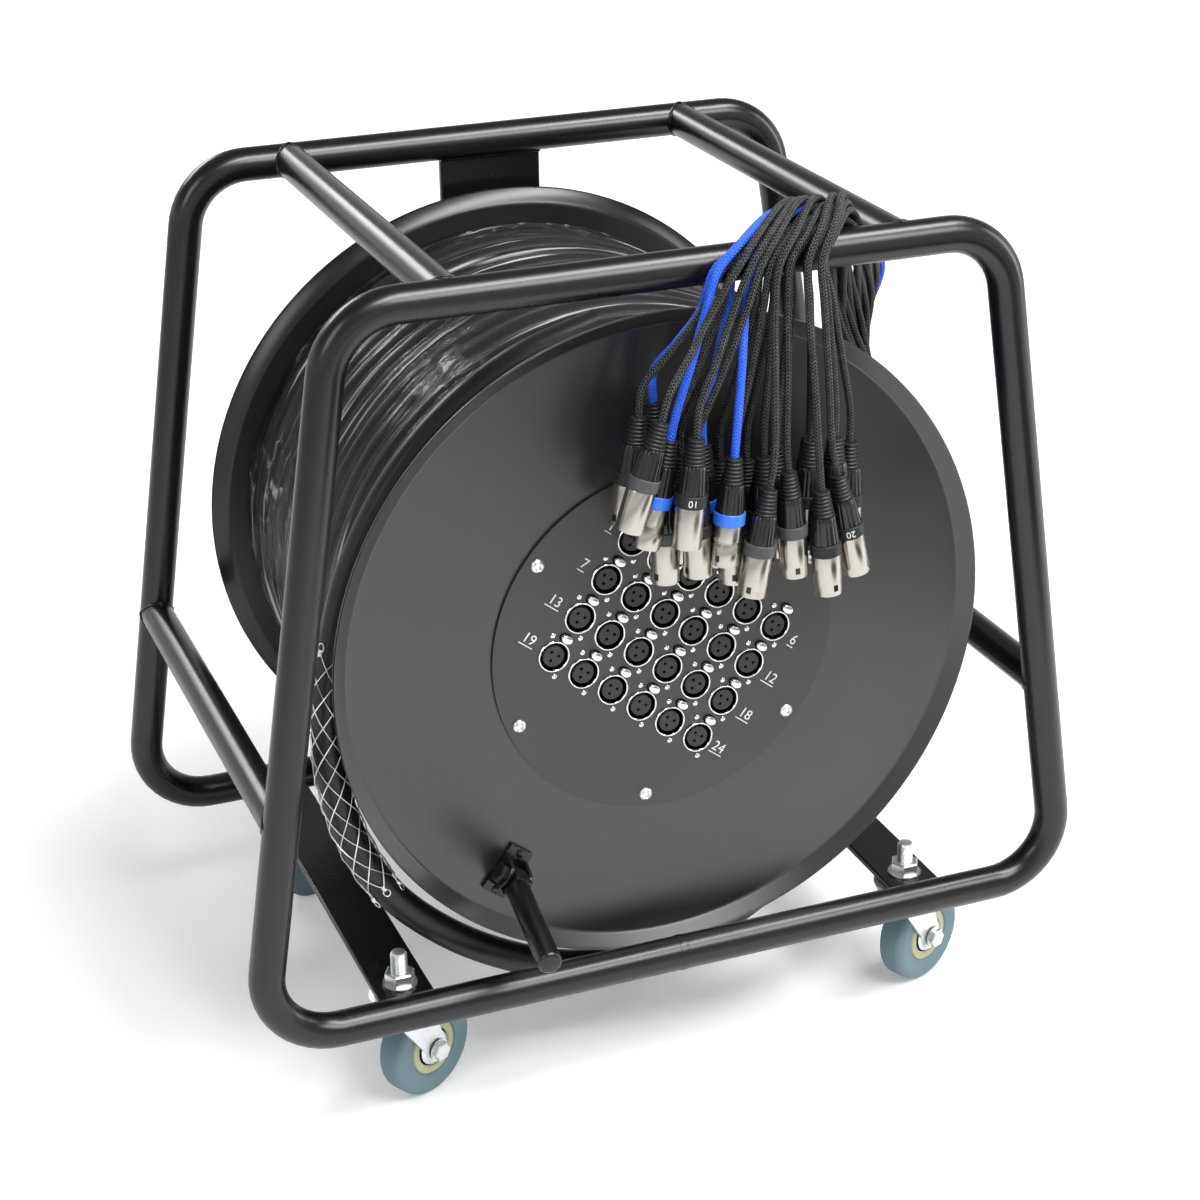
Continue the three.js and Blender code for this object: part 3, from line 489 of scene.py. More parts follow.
def addPiece(name, source, finish, body, replaces=(), place=world, bevel=0, smooth=38):
    mesh = toMesh(source, name) if isinstance(source, bmesh.types.BMesh) else source
    mesh.transform(place)
    for label in [finish] if isinstance(finish, str) else finish or ():
        mesh.materials.append(materials[label])
    mesh.shade_smooth()
    mesh.set_sharp_from_angle(angle=radians(smooth))
    piece = addObject(name, mesh)
    if bevel:
        edge = piece.modifiers.new("edges", "BEVEL")
        edge.width, edge.segments = bevel * mm, 2
        edge.limit_method, edge.angle_limit = "ANGLE", radians(40)
    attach(piece, body)
    if replaces:
        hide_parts(*replaces)
    return piece


def addPainted(name, bm, replaces=(), bevel=0):
    return addPiece(name, bm, "powderCoat", "frame", replaces, bevel=bevel)


def meshOf(holder):
    graph = bpy.context.evaluated_depsgraph_get()
    source = holder.evaluated_get(graph)
    mesh = bpy.data.meshes.new_from_object(source, preserve_all_data_layers=True, depsgraph=graph)
    bpy.data.objects.remove(holder)
    return mesh


def textMesh(body, size, thickness):
    curve = bpy.data.curves.new("number", "FONT")
    curve.body, curve.size, curve.extrude = body, size, thickness
    curve.align_x, curve.resolution_u = "CENTER", 4
    return meshOf(addObject("number", curve))


def polyCurve(name, dimensions, lines, cyclic):
    curve = bpy.data.curves.new(name, "CURVE")
    curve.dimensions = dimensions
    for line in lines:
        spline = curve.splines.new("POLY")
        spline.points.add(len(line) - 1)
        for point, place in zip(spline.points, line):
            point.co = (*place, 1)
        spline.use_cyclic_u = cyclic
    return curve


def holedPlate(outlines, thickness, bevel):
    curve = polyCurve("plateOutline", "2D", [[(x, y, 0) for x, y in line] for line in outlines], True)
    curve.fill_mode, curve.extrude = "BOTH", thickness / 2 - bevel
    curve.bevel_depth, curve.bevel_resolution, curve.offset = bevel, 1, -bevel
    return meshOf(addObject("plateOutline", curve))


# Geometry Nodes helpers
def startShape(name, inputs):
    inputs = {"Geometry": "Geometry", **inputs, "Material": "Material"}
    return startTree("GeometryNodeTree", name, inputs, {"Geometry": "Geometry"})


def endShape(tree, source, sink, geometry):
    whole = addNode(tree, "GeometryNodeRealizeInstances", {"Geometry": geometry}).outputs[0]
    painted = addNode(tree, "GeometryNodeSetMaterial", {"Geometry": whole, "Material": source["Material"]})
    feed(tree, sink, {0: painted.outputs[0]})
    return tree


def tubeNode(tree, line, sides, radius):
    ring = addNode(tree, "GeometryNodeCurvePrimitiveCircle", {"Resolution": sides, "Radius": radius})
    inputs = {"Curve": line, "Profile Curve": ring.outputs[0], "Fill Caps": True}
    return addNode(tree, "GeometryNodeCurveToMesh", inputs).outputs[0]


def copiesNode(tree, source, points, **inputs):
    unit = addNode(tree, "GeometryNodeObjectInfo", {"Object": source["Piece"]}).outputs["Geometry"]
    inputs.update({"Points": points, "Instance": unit})
    return addNode(tree, "GeometryNodeInstanceOnPoints", inputs).outputs[0]


def grow(tree, values, data=None):
    holder = addObject(tree.name, data or bpy.data.meshes.new(tree.name))
    modifier = holder.modifiers.new("grow", "NODES")
    modifier.node_group = tree
    for item in tree.interface.items_tree:
        if item.item_type == "SOCKET" and item.in_out == "INPUT" and item.name in values:
            modifier[item.identifier] = values[item.name]
    return meshOf(holder)


def repeatUnit(tree, bm, material, **values):
    unit = addObject("unit", toMesh(bm, "unit"))
    mesh = grow(tree, {"Piece": unit, "Material": materials[material], **values})
    bpy.data.objects.remove(unit)
    return mesh


def buildWindingTree():
    inputs = {"Turns": 12.0, "Pitch": 22.0, "Winding Radius": 200.0, "Start": -140.0, "Cable Radius": 11.0}
    inputs.update({"Steps Per Turn": 64, "Sides": 14, "Unevenness": 0.4})
    tree, source, sink = startShape("woundCable", inputs)
    count = times(tree, source["Turns"], source["Steps Per Turn"])
    line = addNode(tree, "GeometryNodeCurvePrimitiveLine").outputs[0]
    line = addNode(tree, "GeometryNodeResampleCurve", {"Curve": line, "Count": count}).outputs[0]
    share = addNode(tree, "GeometryNodeSplineParameter").outputs["Factor"]
    turns = times(tree, share, source["Turns"])
    angle = times(tree, turns, 2 * pi)
    along = mathNode(tree, "ADD", times(tree, turns, source["Pitch"]), source["Start"])
    wobble = addNode(tree, "ShaderNodeTexNoise", {"Scale": 3.0, "W": turns}, noise_dimensions="1D")
    uneven = mathNode(tree, "SUBTRACT", wobble.outputs["Fac"], 0.5)
    uneven = times(tree, uneven, source["Unevenness"])
    radius = mathNode(tree, "ADD", source["Winding Radius"], uneven)
    x = times(tree, radius, mathNode(tree, "COSINE", angle))
    z = times(tree, radius, mathNode(tree, "SINE", angle))
    spot = addNode(tree, "ShaderNodeCombineXYZ", {"X": x, "Y": along, "Z": z}).outputs[0]
    line = addNode(tree, "GeometryNodeSetPosition", {"Geometry": line, "Position": spot}).outputs[0]
    return endShape(tree, source, sink, tubeNode(tree, line, source["Sides"], source["Cable Radius"]))


def buildGripTree():
    inputs = {"Wires": 8, "Twist": 2.0, "Grip Radius": 12.0, "Wire Radius": 0.5}
    tree, source, sink = startShape("wovenGrip", inputs)
    inputs = {"Geometry": source["Geometry"], "Amount": source["Wires"]}
    copies = addNode(tree, "GeometryNodeDuplicateElements", inputs, domain="SPLINE")
    start = mathNode(tree, "DIVIDE", copies.outputs["Duplicate Index"], source["Wires"])
    share = addNode(tree, "GeometryNodeSplineParameter").outputs["Factor"]
    twist = times(tree, share, source["Twist"])
    angle = times(tree, mathNode(tree, "ADD", start, twist), 2 * pi)
    normal = addNode(tree, "GeometryNodeInputNormal").outputs["Normal"]
    tangent = addNode(tree, "GeometryNodeInputTangent").outputs["Tangent"]
    side = vectorNode(tree, "CROSS_PRODUCT", {0: tangent, 1: normal})
    shifts = {}
    for slot, operation, direction in ((0, "COSINE", normal), (1, "SINE", side)):
        size = times(tree, mathNode(tree, operation, angle), source["Grip Radius"])
        shifts[slot] = vectorNode(tree, "SCALE", {0: direction, "Scale": size})
    inputs = {"Geometry": copies.outputs["Geometry"], "Offset": vectorNode(tree, "ADD", shifts)}
    line = addNode(tree, "GeometryNodeSetPosition", inputs).outputs[0]
    return endShape(tree, source, sink, tubeNode(tree, line, 6, source["Wire Radius"]))


def buildGridTree():
    inputs = {"Piece": "Object", "Columns": 6, "Rows": 4, "Column Pitch": 27.0, "Row Pitch": 32.0}
    tree, source, sink = startShape("gridOfPieces", inputs)
    inputs = {"Vertices X": source["Columns"], "Vertices Y": source["Rows"]}
    for label, count, pitch in (("Size X", "Columns", "Column Pitch"), ("Size Y", "Rows", "Row Pitch")):
        gaps = mathNode(tree, "SUBTRACT", source[count], 1)
        inputs[label] = times(tree, gaps, source[pitch])
    grid = addNode(tree, "GeometryNodeMeshGrid", inputs).outputs[0]
    return endShape(tree, source, sink, copiesNode(tree, source, grid))


def buildRingTree():
    inputs = {"Piece": "Object", "Count": 6, "Ring Radius": 100.0, "Seed": 4}
    tree, source, sink = startShape("ringOfPieces", inputs)
    inputs = {"Vertices": source["Count"], "Radius": source["Ring Radius"]}
    ring = addNode(tree, "GeometryNodeMeshCircle", inputs).outputs[0]
    inputs = {"Min": (0, 0, 0), "Max": (0, 0, 6.28), "Seed": source["Seed"]}
    turns = addNode(tree, "FunctionNodeRandomValue", inputs, data_type="FLOAT_VECTOR").outputs["Value"]
    return endShape(tree, source, sink, copiesNode(tree, source, ring, Rotation=turns))


windingTree, gripTree = buildWindingTree(), buildGripTree()
gridTree, ringTree = buildGridTree(), buildRingTree()
print("node trees made")

# The free end of the multicore, with its boot; its route's X, depth behind the drum's face, and Z
drumFace = -157.0
multicore = {
    "radius": 11,
    "points": 180,
    "sides": 28,
    "route": [
        (-39.6, 17, 560.0), (-96.4, 17, 542.1), (-146.6, 17, 510.2), (-186.8, 17, 466.3),
        (-215.2, 17, 413.8), (-229.5, 17, 367.7), (-237.5, 17, 319.0), (-237.5, 17, 268.0),
        (-226.2, 17, 215.8), (-201.7, 17, 167.1), (-163.2, 17, 126.7), (-117.0, 17, 95.5),
        (-65.3, 17, 74.5), (-9.5, 18, 69.7), (44.5, 20, 79.6), (92.8, 21, 104.5),
        (133.9, 21, 138.6), (169.8, 21, 175.7), (201.0, 23, 214.0), (220.0, 25, 246.0),
        (229.2, 27, 272.0), (230.4, 27, 304.0),
    ],
}


def smoothLine(points, spans=12):
    points = [Vector(p) for p in points]
    ends = [points[0] * 2 - points[1], *points, points[-1] * 2 - points[-2]]
    line = []
    for before, first, second, after in zip(ends, ends[1:], ends[2:], ends[3:]):
        pairs = ((before, first), (first, second), (second, after))
        a, b, c = (max((q - p).length, 1e-3) ** 0.5 for p, q in pairs)
        leave = ((first - before) / a - (second - before) / (a + b) + (second - first) / b) * b
        arrive = ((second - first) / b - (after - first) / (b + c) + (after - second) / c) * b
        for k in range(spans):
            t = k / spans
            spot = first * (2 * t**3 - 3 * t**2 + 1) + leave * (t**3 - 2 * t**2 + t)
            line.append(spot + second * (3 * t**2 - 2 * t**3) + arrive * (t**3 - t**2))
    line.append(points[-1])
    return line


def lineLength(line):
    return sum((b - a).length for a, b in zip(line, line[1:]))


def evenly(line, count):
    total = lineLength(line)
    result, run, i = [], 0, 0
    for distance in (total * i / (count - 1) for i in range(count)):
        while i < len(line) - 2 and run + (line[i + 1] - line[i]).length < distance:
            run += (line[i + 1] - line[i]).length
            i += 1
        step = max((line[i + 1] - line[i]).length, 1e-9)
        result.append(line[i].lerp(line[i + 1], min((distance - run) / step, 1)))
    return result


route = smoothLine([(x, drumFace + depth, z) for x, depth, z in multicore["route"]])
multicoreLine = evenly(route, multicore["points"])
bm = bmesh.new()
swept(bm, multicoreLine, multicore["radius"], multicore["sides"])
multicorePiece = addPiece("multicoreTail", bm, "cableJacket", "frame", ["multicore_tail"])

lastSteps = evenly(multicoreLine, 29)[-2:]
bootDirection = (lastSteps[1] - lastSteps[0]).normalized()
bootTurn = Vector((0, 0, 1)).rotation_difference(bootDirection).to_matrix().to_4x4()
bootPlace = at(*multicoreLine[-1]) @ bootTurn
boot = {"cuffRadius": 15, "cuffLength": 18, "topRadius": 18, "length": 52, "ribs": 5}


def makeBoot():
    bm = bmesh.new()
    radius, cuff, top, length, ribs = boot.values()
    profile = [(0, 0.3), (11.2, 0.3), (radius - 1, 0.6), (radius, 2)]
    step = (cuff - 2) / ribs
    for i in range(ribs):
        start = 2 + (cuff - 2) * i / ribs
        profile += [(radius, start + 0.2 * step), (radius - 0.8, start + 0.35 * step)]
        profile += [(radius - 0.8, start + 0.65 * step), (radius, start + 0.8 * step)]
    for i in range(7):
        share = i / 6
        grown = radius + (top - radius) * (3 * share**2 - 2 * share**3)
        profile.append((grown, cuff + (length - 3 - cuff) * share))
    profile += [(top - 0.6, length - 1), (top - 2.5, length), (0, length)]
    turned(bm, profile, 40, bootPlace @ upright)
    return addPiece("fanoutBoot", bm, "bootRubber", "frame", ["fanout_boot"])


bootPiece = makeBoot()

# The pulling grip: wires that cross each other round the cable, with beads where they end
grip = {"wires": 6, "twist": 1.5, "radius": 12.2, "wire": 0.42, "from": 0.274, "to": 0.449, "bead": 1.75}


def addGripLoops(bm, end, out, stagger):
    side = out.orthogonal().normalized()
    upward = out.cross(side)
    tips = {}
    for vert in bm.verts:
        reach = vert.co - end
        if abs(reach.dot(out)) < 0.6 and reach.length < grip["radius"] + 2:
            angle = atan2(reach.dot(upward), reach.dot(side))
            if not tips:
                base = angle
            share = (angle - base) / (2 * pi) * grip["wires"]
            tips.setdefault(round(share) % grip["wires"], []).append(vert.co.copy())
    for i, corners in sorted(tips.items()):
        tip = sum(corners, Vector()) / len(corners)
        outward = (tip - end - out * (tip - end).dot(out)).normalized()
        across = out.cross(outward)
        rise = stagger * (i % 2)
        shape = [(0.6, -2), (0.6, rise)]
        shape += [(x, rise + z) for x, z in ((2.2, 3), (2.4, 5), (1.2, 6.8), (0, 7.2))]
        shape += [(-x, z) for x, z in reversed(shape[:-1])]
        swept(bm, [tip + across * x + out * z for x, z in shape], grip["wire"], 6)
        bead = [(r, 1.5 * y) for r, y in arcProfile(0, 0, grip["bead"], -90, 90, 8)]
        bead[0], bead[-1] = (0, -1.5 * grip["bead"]), (0, 1.5 * grip["bead"])
        turned(bm, bead, 14, at(*(tip + out * rise)) @ out.to_track_quat("Y", "Z").to_matrix().to_4x4())


def makeGrip():
    first, last = (int(grip[k] * (multicore["points"] - 1)) for k in ("from", "to"))
    line = multicoreLine[first : last + 1]
    bm = bmesh.new()
    for direction in (1, -1):
        values = {"Wires": grip["wires"], "Twist": grip["twist"] * direction, "Wire Radius": grip["wire"]}
        values.update({"Grip Radius": grip["radius"] + 0.25 * direction, "Material": materials["zincPlate"]})
        bm.from_mesh(grow(gripTree, values, polyCurve("gripLine", "3D", [line], False)))
    addGripLoops(bm, line[0], (line[0] - line[2]).normalized(), 0)
    addGripLoops(bm, line[-1], (line[-1] - line[-3]).normalized(), 7)
    return addPiece("cableGrip", bm, "zincPlate", "frame", ["cable_grip"])


gripPiece = makeGrip()
print("multicore tail, boot and grip made")

# The tails: each follows its strand from the boot to the rail and then hangs down to its own plug
loopTop = 606
tails = {
    "radius": 2.55,
    "blueRadius": 2.9,
    "spread": 2.75,
    "twist": 22,
    "sides": 12,
    "points": 150,
    "perStrand": [3, 3, 4, 4, 4, 3, 3],
    "bootPlaces": [(-5.3, -9.2), (5.3, -9.2), (-10.6, 0), (10.6, 0), (0, 0), (5.3, 9.2), (-5.3, 9.2)],
    "bootRun": 12,
    "arcAngles": (24, 40),
    "arcRadius": 227.2,
    "arcPlace": 47,
    "arcPitch": 12.3,
    "fan": (170, 50, 537, 9.5, 10.5, 5),
    "throat": (109, 30),
    "front": (13, 78),
    "railReach": 15.6,
    "layerStep": 5.4,
    "overRail": ((4, 0, 0), (50, 0.2, 1.5), (95, 0.5, 3), (138, 0.8, 2), (174, 1, 0)),
    "loose": 1.2,
    "dropHeight": 578,
}
# Each plug's top and tip in X and Z, its place along Y, and its ring; front ones first
plugPlaces = [
    ((-32, 520), (-55, 449), -228, "ringGrey"),
    ((-19, 501), (-36, 432), -212, "ringBlue"),
    ((-8, 506), (-15, 432), -229, "ringBlack", "10"),
    ((-2, 478), (0, 404), -214, "ringBlack", "19"),
    ((21, 487), (15, 413), -224, "ringBlue"),
    ((44, 463), (32, 390), -229, "ringGrey"),
    ((60, 471), (66, 397), -224, "ringGrey"),
    ((82, 456), (89, 382), -229, "ringBlack"),
    ((98, 462), (114, 390), -220, "ringBlack", "20"),
    ((84, 484), (80, 410), -208, "ringBlack"),
    ((-33, 512), (-44, 439), -192, "ringBlack"),
    ((-17, 516), (-17, 442), -178.5, "ringBlue"),
    ((3.8, 474), (3.8, 400), -177.5, "ringBlack"),
    ((28, 470), (28, 396), -185.3, "ringBlack"),
    ((48.9, 478), (48.9, 404), -209.1, "ringBlack"),
    ((49.3, 466), (49.3, 392), -181.3, "ringGrey"),
    ((65, 476), (65, 402), -194.9, "ringBlack"),
    ((76.1, 466), (76.1, 392), -177.5, "ringBlack"),
    ((96.8, 476), (96.8, 402), -179.6, "ringGrey"),
    ((106, 480), (106, 406), -199.2, "ringBlack"),
    ((123.1, 470), (123.1, 396), -187.4, "ringBlack"),
    ((10.6, 488), (10.6, 414), -196.8, "ringBlue"),
    ((28.4, 466), (28.4, 392), -207.2, "ringBlack"),
    ((-17, 470), (-17, 396), -198.3, "ringGrey"),
]


def strandStations(index):
    side = index - 3
    x, y = tails["bootPlaces"][index]
    start = bootPlace @ Vector((x, y, boot["length"] + 0.3))
    stations = [start, start + bootDirection * tails["bootRun"]]
    for angle in tails["arcAngles"]:
        turn = radians(angle)
        x, z = tails["arcRadius"] * cos(turn), drumHeight + tails["arcRadius"] * sin(turn)
        stations.append(Vector((x, drumFace + tails["arcPlace"] + side * tails["arcPitch"], z)))
    x, depth, z, stepX, stepY, stepZ = tails["fan"]
    stations.append(Vector((x + side * stepX, drumFace + depth + side * stepY, z + side * stepZ)))
    return stations


def carriedFrames(points):
    frames, normal = [], Vector((0, 1, 0))
    for i in range(len(points)):
        tangent = (points[min(i + 1, len(points) - 1)] - points[max(i - 1, 0)]).normalized()
        normal = (normal - tangent * normal.dot(tangent)).normalized()
        frames.append((normal, tangent.cross(normal)))
    return frames


def tailLine(strand, member, share, layer, plugTop, plugAxis, y):
    members = tails["perStrand"][strand]
    stations = strandStations(strand)
    reach = tails["spread"] * (1.414 if members == 4 else 1.16)
    line = []
    for i, (station, (normal, side)) in enumerate(zip(stations, carriedFrames(stations))):
        turn = radians(45 + 360 * member / members + tails["twist"] * i)
        line.append(station + (normal * cos(turn) + side * sin(turn)) * reach)
    behind, ahead = (tails[key][0] + tails[key][1] * share for key in ("throat", "front"))
    for angle, across, lift in tails["overRail"]:
        turn = radians(angle)
        out = tails["railReach"] + layer * tails["layerStep"] + lift
        wander = tails["loose"] * noise.noise(Vector((share * 40, layer, across * 2)))
        x = behind + (ahead - behind) * across + wander
        line.append(Vector((x, -loopPlane + out * cos(turn), loopTop + out * sin(turn))))
    last, end = line[-1], Vector((plugTop[0], y, plugTop[1]))
    under = last.lerp(end, (last.z - tails["dropHeight"]) / (last.z - end.z) * 0.9)
    under.y = last.y + 1
    drop = end + plugAxis * 20
    return line + [under, under.lerp(drop, 0.5) + Vector((0, -1, 0)), drop, end + plugAxis * 2, end]


# A plug: ribbed strain relief, fluted grip, ring and nickel shell with its three pins
plug = {
    "relief": 18, "ribs": 7, "grip": 19, "ring": 8.5, "shell": 28.5, "ringRadius": 10.7, "shellRadius": 9.8,
}


def makePlug(name, top, tip, y, ringFinish, label=None):
    bm = bmesh.new()
    step = plug["relief"] / plug["ribs"]
    profile = [(0, 0), (3.6, 0)]
    for i in range(plug["ribs"]):
        radius = 5.3 + 2.3 * (i / plug["ribs"])
        for out, down in ((0, 0.08), (0.35, 0.3), (0.2, 0.55), (-0.7, 0.68), (-0.6, 0.94)):
            profile.append((radius + out, -step * (i + down)))
    low = -plug["relief"]
    turned(bm, [*profile, (7.4, low), (0, low)], 24, upright, 3)
    end = low - plug["grip"]
    profile = [(0, low + 0.5), (7.6, low + 0.4), (8.2, low - 0.6), (8.5, low - 3), (8.9, low - 7)]
    profile += [(9.3, end + 5), (9.7, end + 1.2), (9.7, end), (0, end)]
    turned(bm, profile, 60, upright, 0, lambda angle, along: 1 - 0.05 * (cos(10 * angle) > 0.6))
    low, end, radius = end, end - plug["ring"], plug["ringRadius"]
    profile = [(0, low), (radius - 0.4, low), (radius, low - 0.5), (radius, end + 0.5), (radius - 0.5, end)]
    turned(bm, [*profile, (0, end)], 32, upright, 1)
    low, end, radius = end, end - plug["shell"], plug["shellRadius"]
    profile = [(0, low), (radius - 0.1, low), (radius, low - 0.4)]
    if ringFinish == "ringBlue":
        profile += [(radius, low - 11), (radius - 0.7, low - 11.6), (radius - 0.7, low - 13)]
        profile.append((radius - 0.3, low - 13.6))
        radius -= 0.3
    profile += [(radius, end + 0.8), (radius - 0.3, end), (radius - 0.9, end), (radius - 1.2, end + 0.4)]
    turned(bm, [*profile, (radius - 1.2, end + 13), (0, end + 13)], 36, upright, 2)
    turned(bm, rod(radius - 1.3, end + 12.9, end + 14), 24, upright, 0)
    pin = [(0, end + 1.5), (0.8, end + 1.6), (1.15, end + 2.4), (1.15, end + 14), (0, end + 14)]
    for angle in (50, 130, 270):
        x, z = 3.9 * cos(radians(angle)), 3.9 * sin(radians(angle))
        turned(bm, pin, 10, at(x, z) @ upright, 2)
    plated(bm, oblong(-1.6, 1.6, end + 3.5, end + 8), -radius - 0.05, -radius + 1.5)
    turn = top[0] * 1.3 + y * 2
    if label:
        mark, faceMark = len(bm.verts), len(bm.faces)
        bm.from_mesh(textMesh(label, 6.6, 0.1))
        bm.verts.ensure_lookup_table()
        bm.faces.ensure_lookup_table()
        middle, reach = low + plug["ring"] / 2, plug["ringRadius"]
        for vert in bm.verts[mark:]:  # wrapped round the ring, its feet towards the tail
            angle = -vert.co.x / reach - radians(105 + turn)
            out = reach + 0.05 + vert.co.z
            vert.co = (out * cos(angle), out * sin(angle), middle + 2.3 - vert.co.y)
        for face in bm.faces[faceMark:]:
            face.material_index = 4
    down = Vector((tip[0] - top[0], 0, tip[1] - top[1])).normalized()
    lean = Vector((0, 0, -1)).rotation_difference(down).to_matrix().to_4x4()
    place = world @ at(top[0], y, top[1]) @ lean @ spin(turn)
    finishSet = ["plugPlastic", ringFinish, "satinNickel", "reliefRubber"] + ["printWhite"] * bool(label)
    return addPiece(name, bm, finishSet, "frame", ["plug_cluster"], place), -down


def makeTails():
    owners = [(strand, member) for strand in range(7) for member in range(tails["perStrand"][strand])]
    order = sorted(plugPlaces, key=lambda row: row[0][0] - 24 * (row[3] == "ringBlue"))
    atBoot = sorted(range(len(order)), key=lambda i: order[i][3] == "ringBlue")
    for number, (top, tip, y, ringFinish, *label) in enumerate(order):
        plugPiece, upwards = makePlug(f"plug{number + 1:02d}", top, tip, y, ringFinish, *label)
        layer = sum(other[2] > y for other in order[number // 4 * 4 : number // 4 * 4 + 4])
        share = number / (len(order) - 1)
        line = tailLine(*owners[atBoot.index(number)], share, layer, top, upwards, y)
        line = evenly(smoothLine(line), tails["points"])
        blue = ringFinish == "ringBlue"
        radius, braidFinish = (tails["blueRadius"], "blueBraid") if blue else (tails["radius"], "blackBraid")
        bm = bmesh.new()
        swept(bm, line, radius, tails["sides"])
        tail = addPiece(f"tail{number + 1:02d}", bm, braidFinish, "frame", ["tail_bundle"])


makeTails()
print("24 tails and plugs made")

# Frame: two bent loops, crossbars, side braces, their weld beads, straps and the support plate
tubing = {
    "radius": 12.5, "sides": 36, "bottom": 96, "top": 606, "lowSpread": 311, "highSpread": 232, "bend": 48,
}
bars = {"crossbarSpread": 157, "braceHeight": 260, "bead": 1.2}


def bentCorners(corners, radius, steps=12):
    line = []
    for i, corner in enumerate(corners):
        back = (corners[i - 1] - corner).normalized()
        ahead = (corners[(i + 1) % len(corners)] - corner).normalized()
        half = back.angle(ahead) / 2
        setback = radius / tan(half)
        centre = corner + (back + ahead).normalized() * (radius / sin(half))
        first, last = corner + back * setback - centre, corner + ahead * setback - centre
        turn = first.angle(last)
        for t in (k / steps for k in range(steps + 1)):
            start, end = (sin(share * turn) / sin(turn) for share in (1 - t, t))
            line.append(centre + first * start + last * end)
    return line


def makeLoop(name, y, node):
    low, high = tubing["lowSpread"], tubing["highSpread"]
    corners = [Vector((-low, y, tubing["bottom"])), Vector((-high, y, tubing["top"]))]
    corners += [Vector((high, y, tubing["top"])), Vector((low, y, tubing["bottom"]))]
    bm = bmesh.new()
    swept(bm, bentCorners(corners, tubing["bend"]), tubing["radius"], tubing["sides"], closed=True)
    wide, radius = 3.5, tubing["radius"]
    bead = [(radius - 0.5, -wide), (radius + 0.25, -wide * 0.8), (radius + 0.5, 0)]
    bead += [(radius + 0.25, wide * 0.8), (radius - 0.5, wide), (radius - 0.5, -wide)]
    turned(bm, bead, 36, at(0, y, tubing["bottom"]) @ spin(90))
    addPainted(name, bm, [node])


def weldBead(bm, spot, loopDirection, facing):
    radius, line = tubing["radius"], []
    across = loopDirection.cross(Vector((0, 1, 0))).normalized()
    for along, up in circleOutline(radius, 48):
        depth = sqrt(max(radius**2 - up**2, 0)) + 0.4
        line.append(spot + loopDirection * along + across * up + Vector((0, facing * depth, 0)))
    lumps = [bars["bead"] * (1 + 0.12 * sin(i * 2.4)) for i in range(48)]
    swept(bm, line, bars["bead"], 8, closed=True, radii=lumps)


def makeCrossTube(name, x, z, loopDirection, node):
    bm = bmesh.new()
    line = [(x, y, z) for y in (-loopPlane + 1, -60, 60, loopPlane - 1)]
    swept(bm, line, tubing["radius"], tubing["sides"])
    for facing in (1, -1):
        weldBead(bm, Vector((x, -facing * loopPlane, z)), loopDirection, facing)
    addPainted(name, bm, [node])


def legSpread(z):
    share = (z - tubing["bottom"]) / (tubing["top"] - tubing["bottom"])
    return tubing["lowSpread"] + (tubing["highSpread"] - tubing["lowSpread"]) * share


makeLoop("frontLoop", -loopPlane, "front_frame_loop")
makeLoop("rearLoop", loopPlane, "rear_frame_loop")
for label, side in (("left", -1), ("right", 1)):
    x, z, direction = side * bars["crossbarSpread"], tubing["top"], Vector((1, 0, 0))
    makeCrossTube(f"crossbar_{label}", x, z, direction, f"top_crossbar_{label}")
    x, z = side * legSpread(bars["braceHeight"]), bars["braceHeight"]
    leg = Vector((side * (tubing["highSpread"] - tubing["lowSpread"]), 0, tubing["top"] - tubing["bottom"]))
    makeCrossTube(f"brace_{label}", x, z, leg.normalized(), f"side_brace_{label}")

straps = {"spread": 200, "width": 40, "thickness": 5, "top": 98}


def makeStrap(label, x):
    half, low, top = straps["width"] / 2, straps["top"] - straps["thickness"], straps["top"]
    bm = bmesh.new()
    plated(bm, oblong(x - half, x + half, low, top), -loopPlane + 2, loopPlane - 2)
    addPainted(f"strap_{label}", bm, [f"caster_strap_{label}"], bevel=1)
    bm = bmesh.new()
    for facing in (1, -1):
        edge = -facing * (loopPlane - 12.6)
        swept(bm, [(x + t * half, edge, top + 0.6) for t in (-1, -0.5, 0, 0.5, 1)], 2.2, 10)
    addPainted(f"strapWeld_{label}", bm)


makeStrap("left", -straps["spread"])
makeStrap("right", straps["spread"])

plate = {"width": 80, "thickness": 5, "joggle": 4, "tab": 34}


def makeSupportPlate():
    thick, joggle = plate["thickness"], plate["joggle"]
    back = loopPlane + thick / 2
    low = tubing["bottom"] + tubing["radius"] + plate["tab"]
    high = tubing["top"] - tubing["radius"] - plate["tab"]
    line = [(back, 107), (back, low), (back - joggle, low + joggle), (back - joggle, high - joggle)]
    line += [(back, high), (back, 595)]
    front = [(y - thick, z) for y, z in reversed(line)]
    sideways = spin(90).inverted() @ Matrix.Scale(-1, 4, (1, 0, 0))
    bm = bmesh.new()
    plated(bm, line + front, -plate["width"] / 2, plate["width"] / 2, sideways)
    addPainted("supportPlate", bm, ["axle_support_plate"], bevel=0.8)
    bm = bmesh.new()
    lumps = [1.9 + 0.2 * (x % 2) for x in range(9)]
    for z in (107.5, 594.5):
        for y in (back + 0.4, back - thick - 0.4):
            swept(bm, [(x * 10, y, z) for x in range(-4, 5)], 1.9, 10, radii=lumps)
    addPainted("plateWelds", bm)


makeSupportPlate()


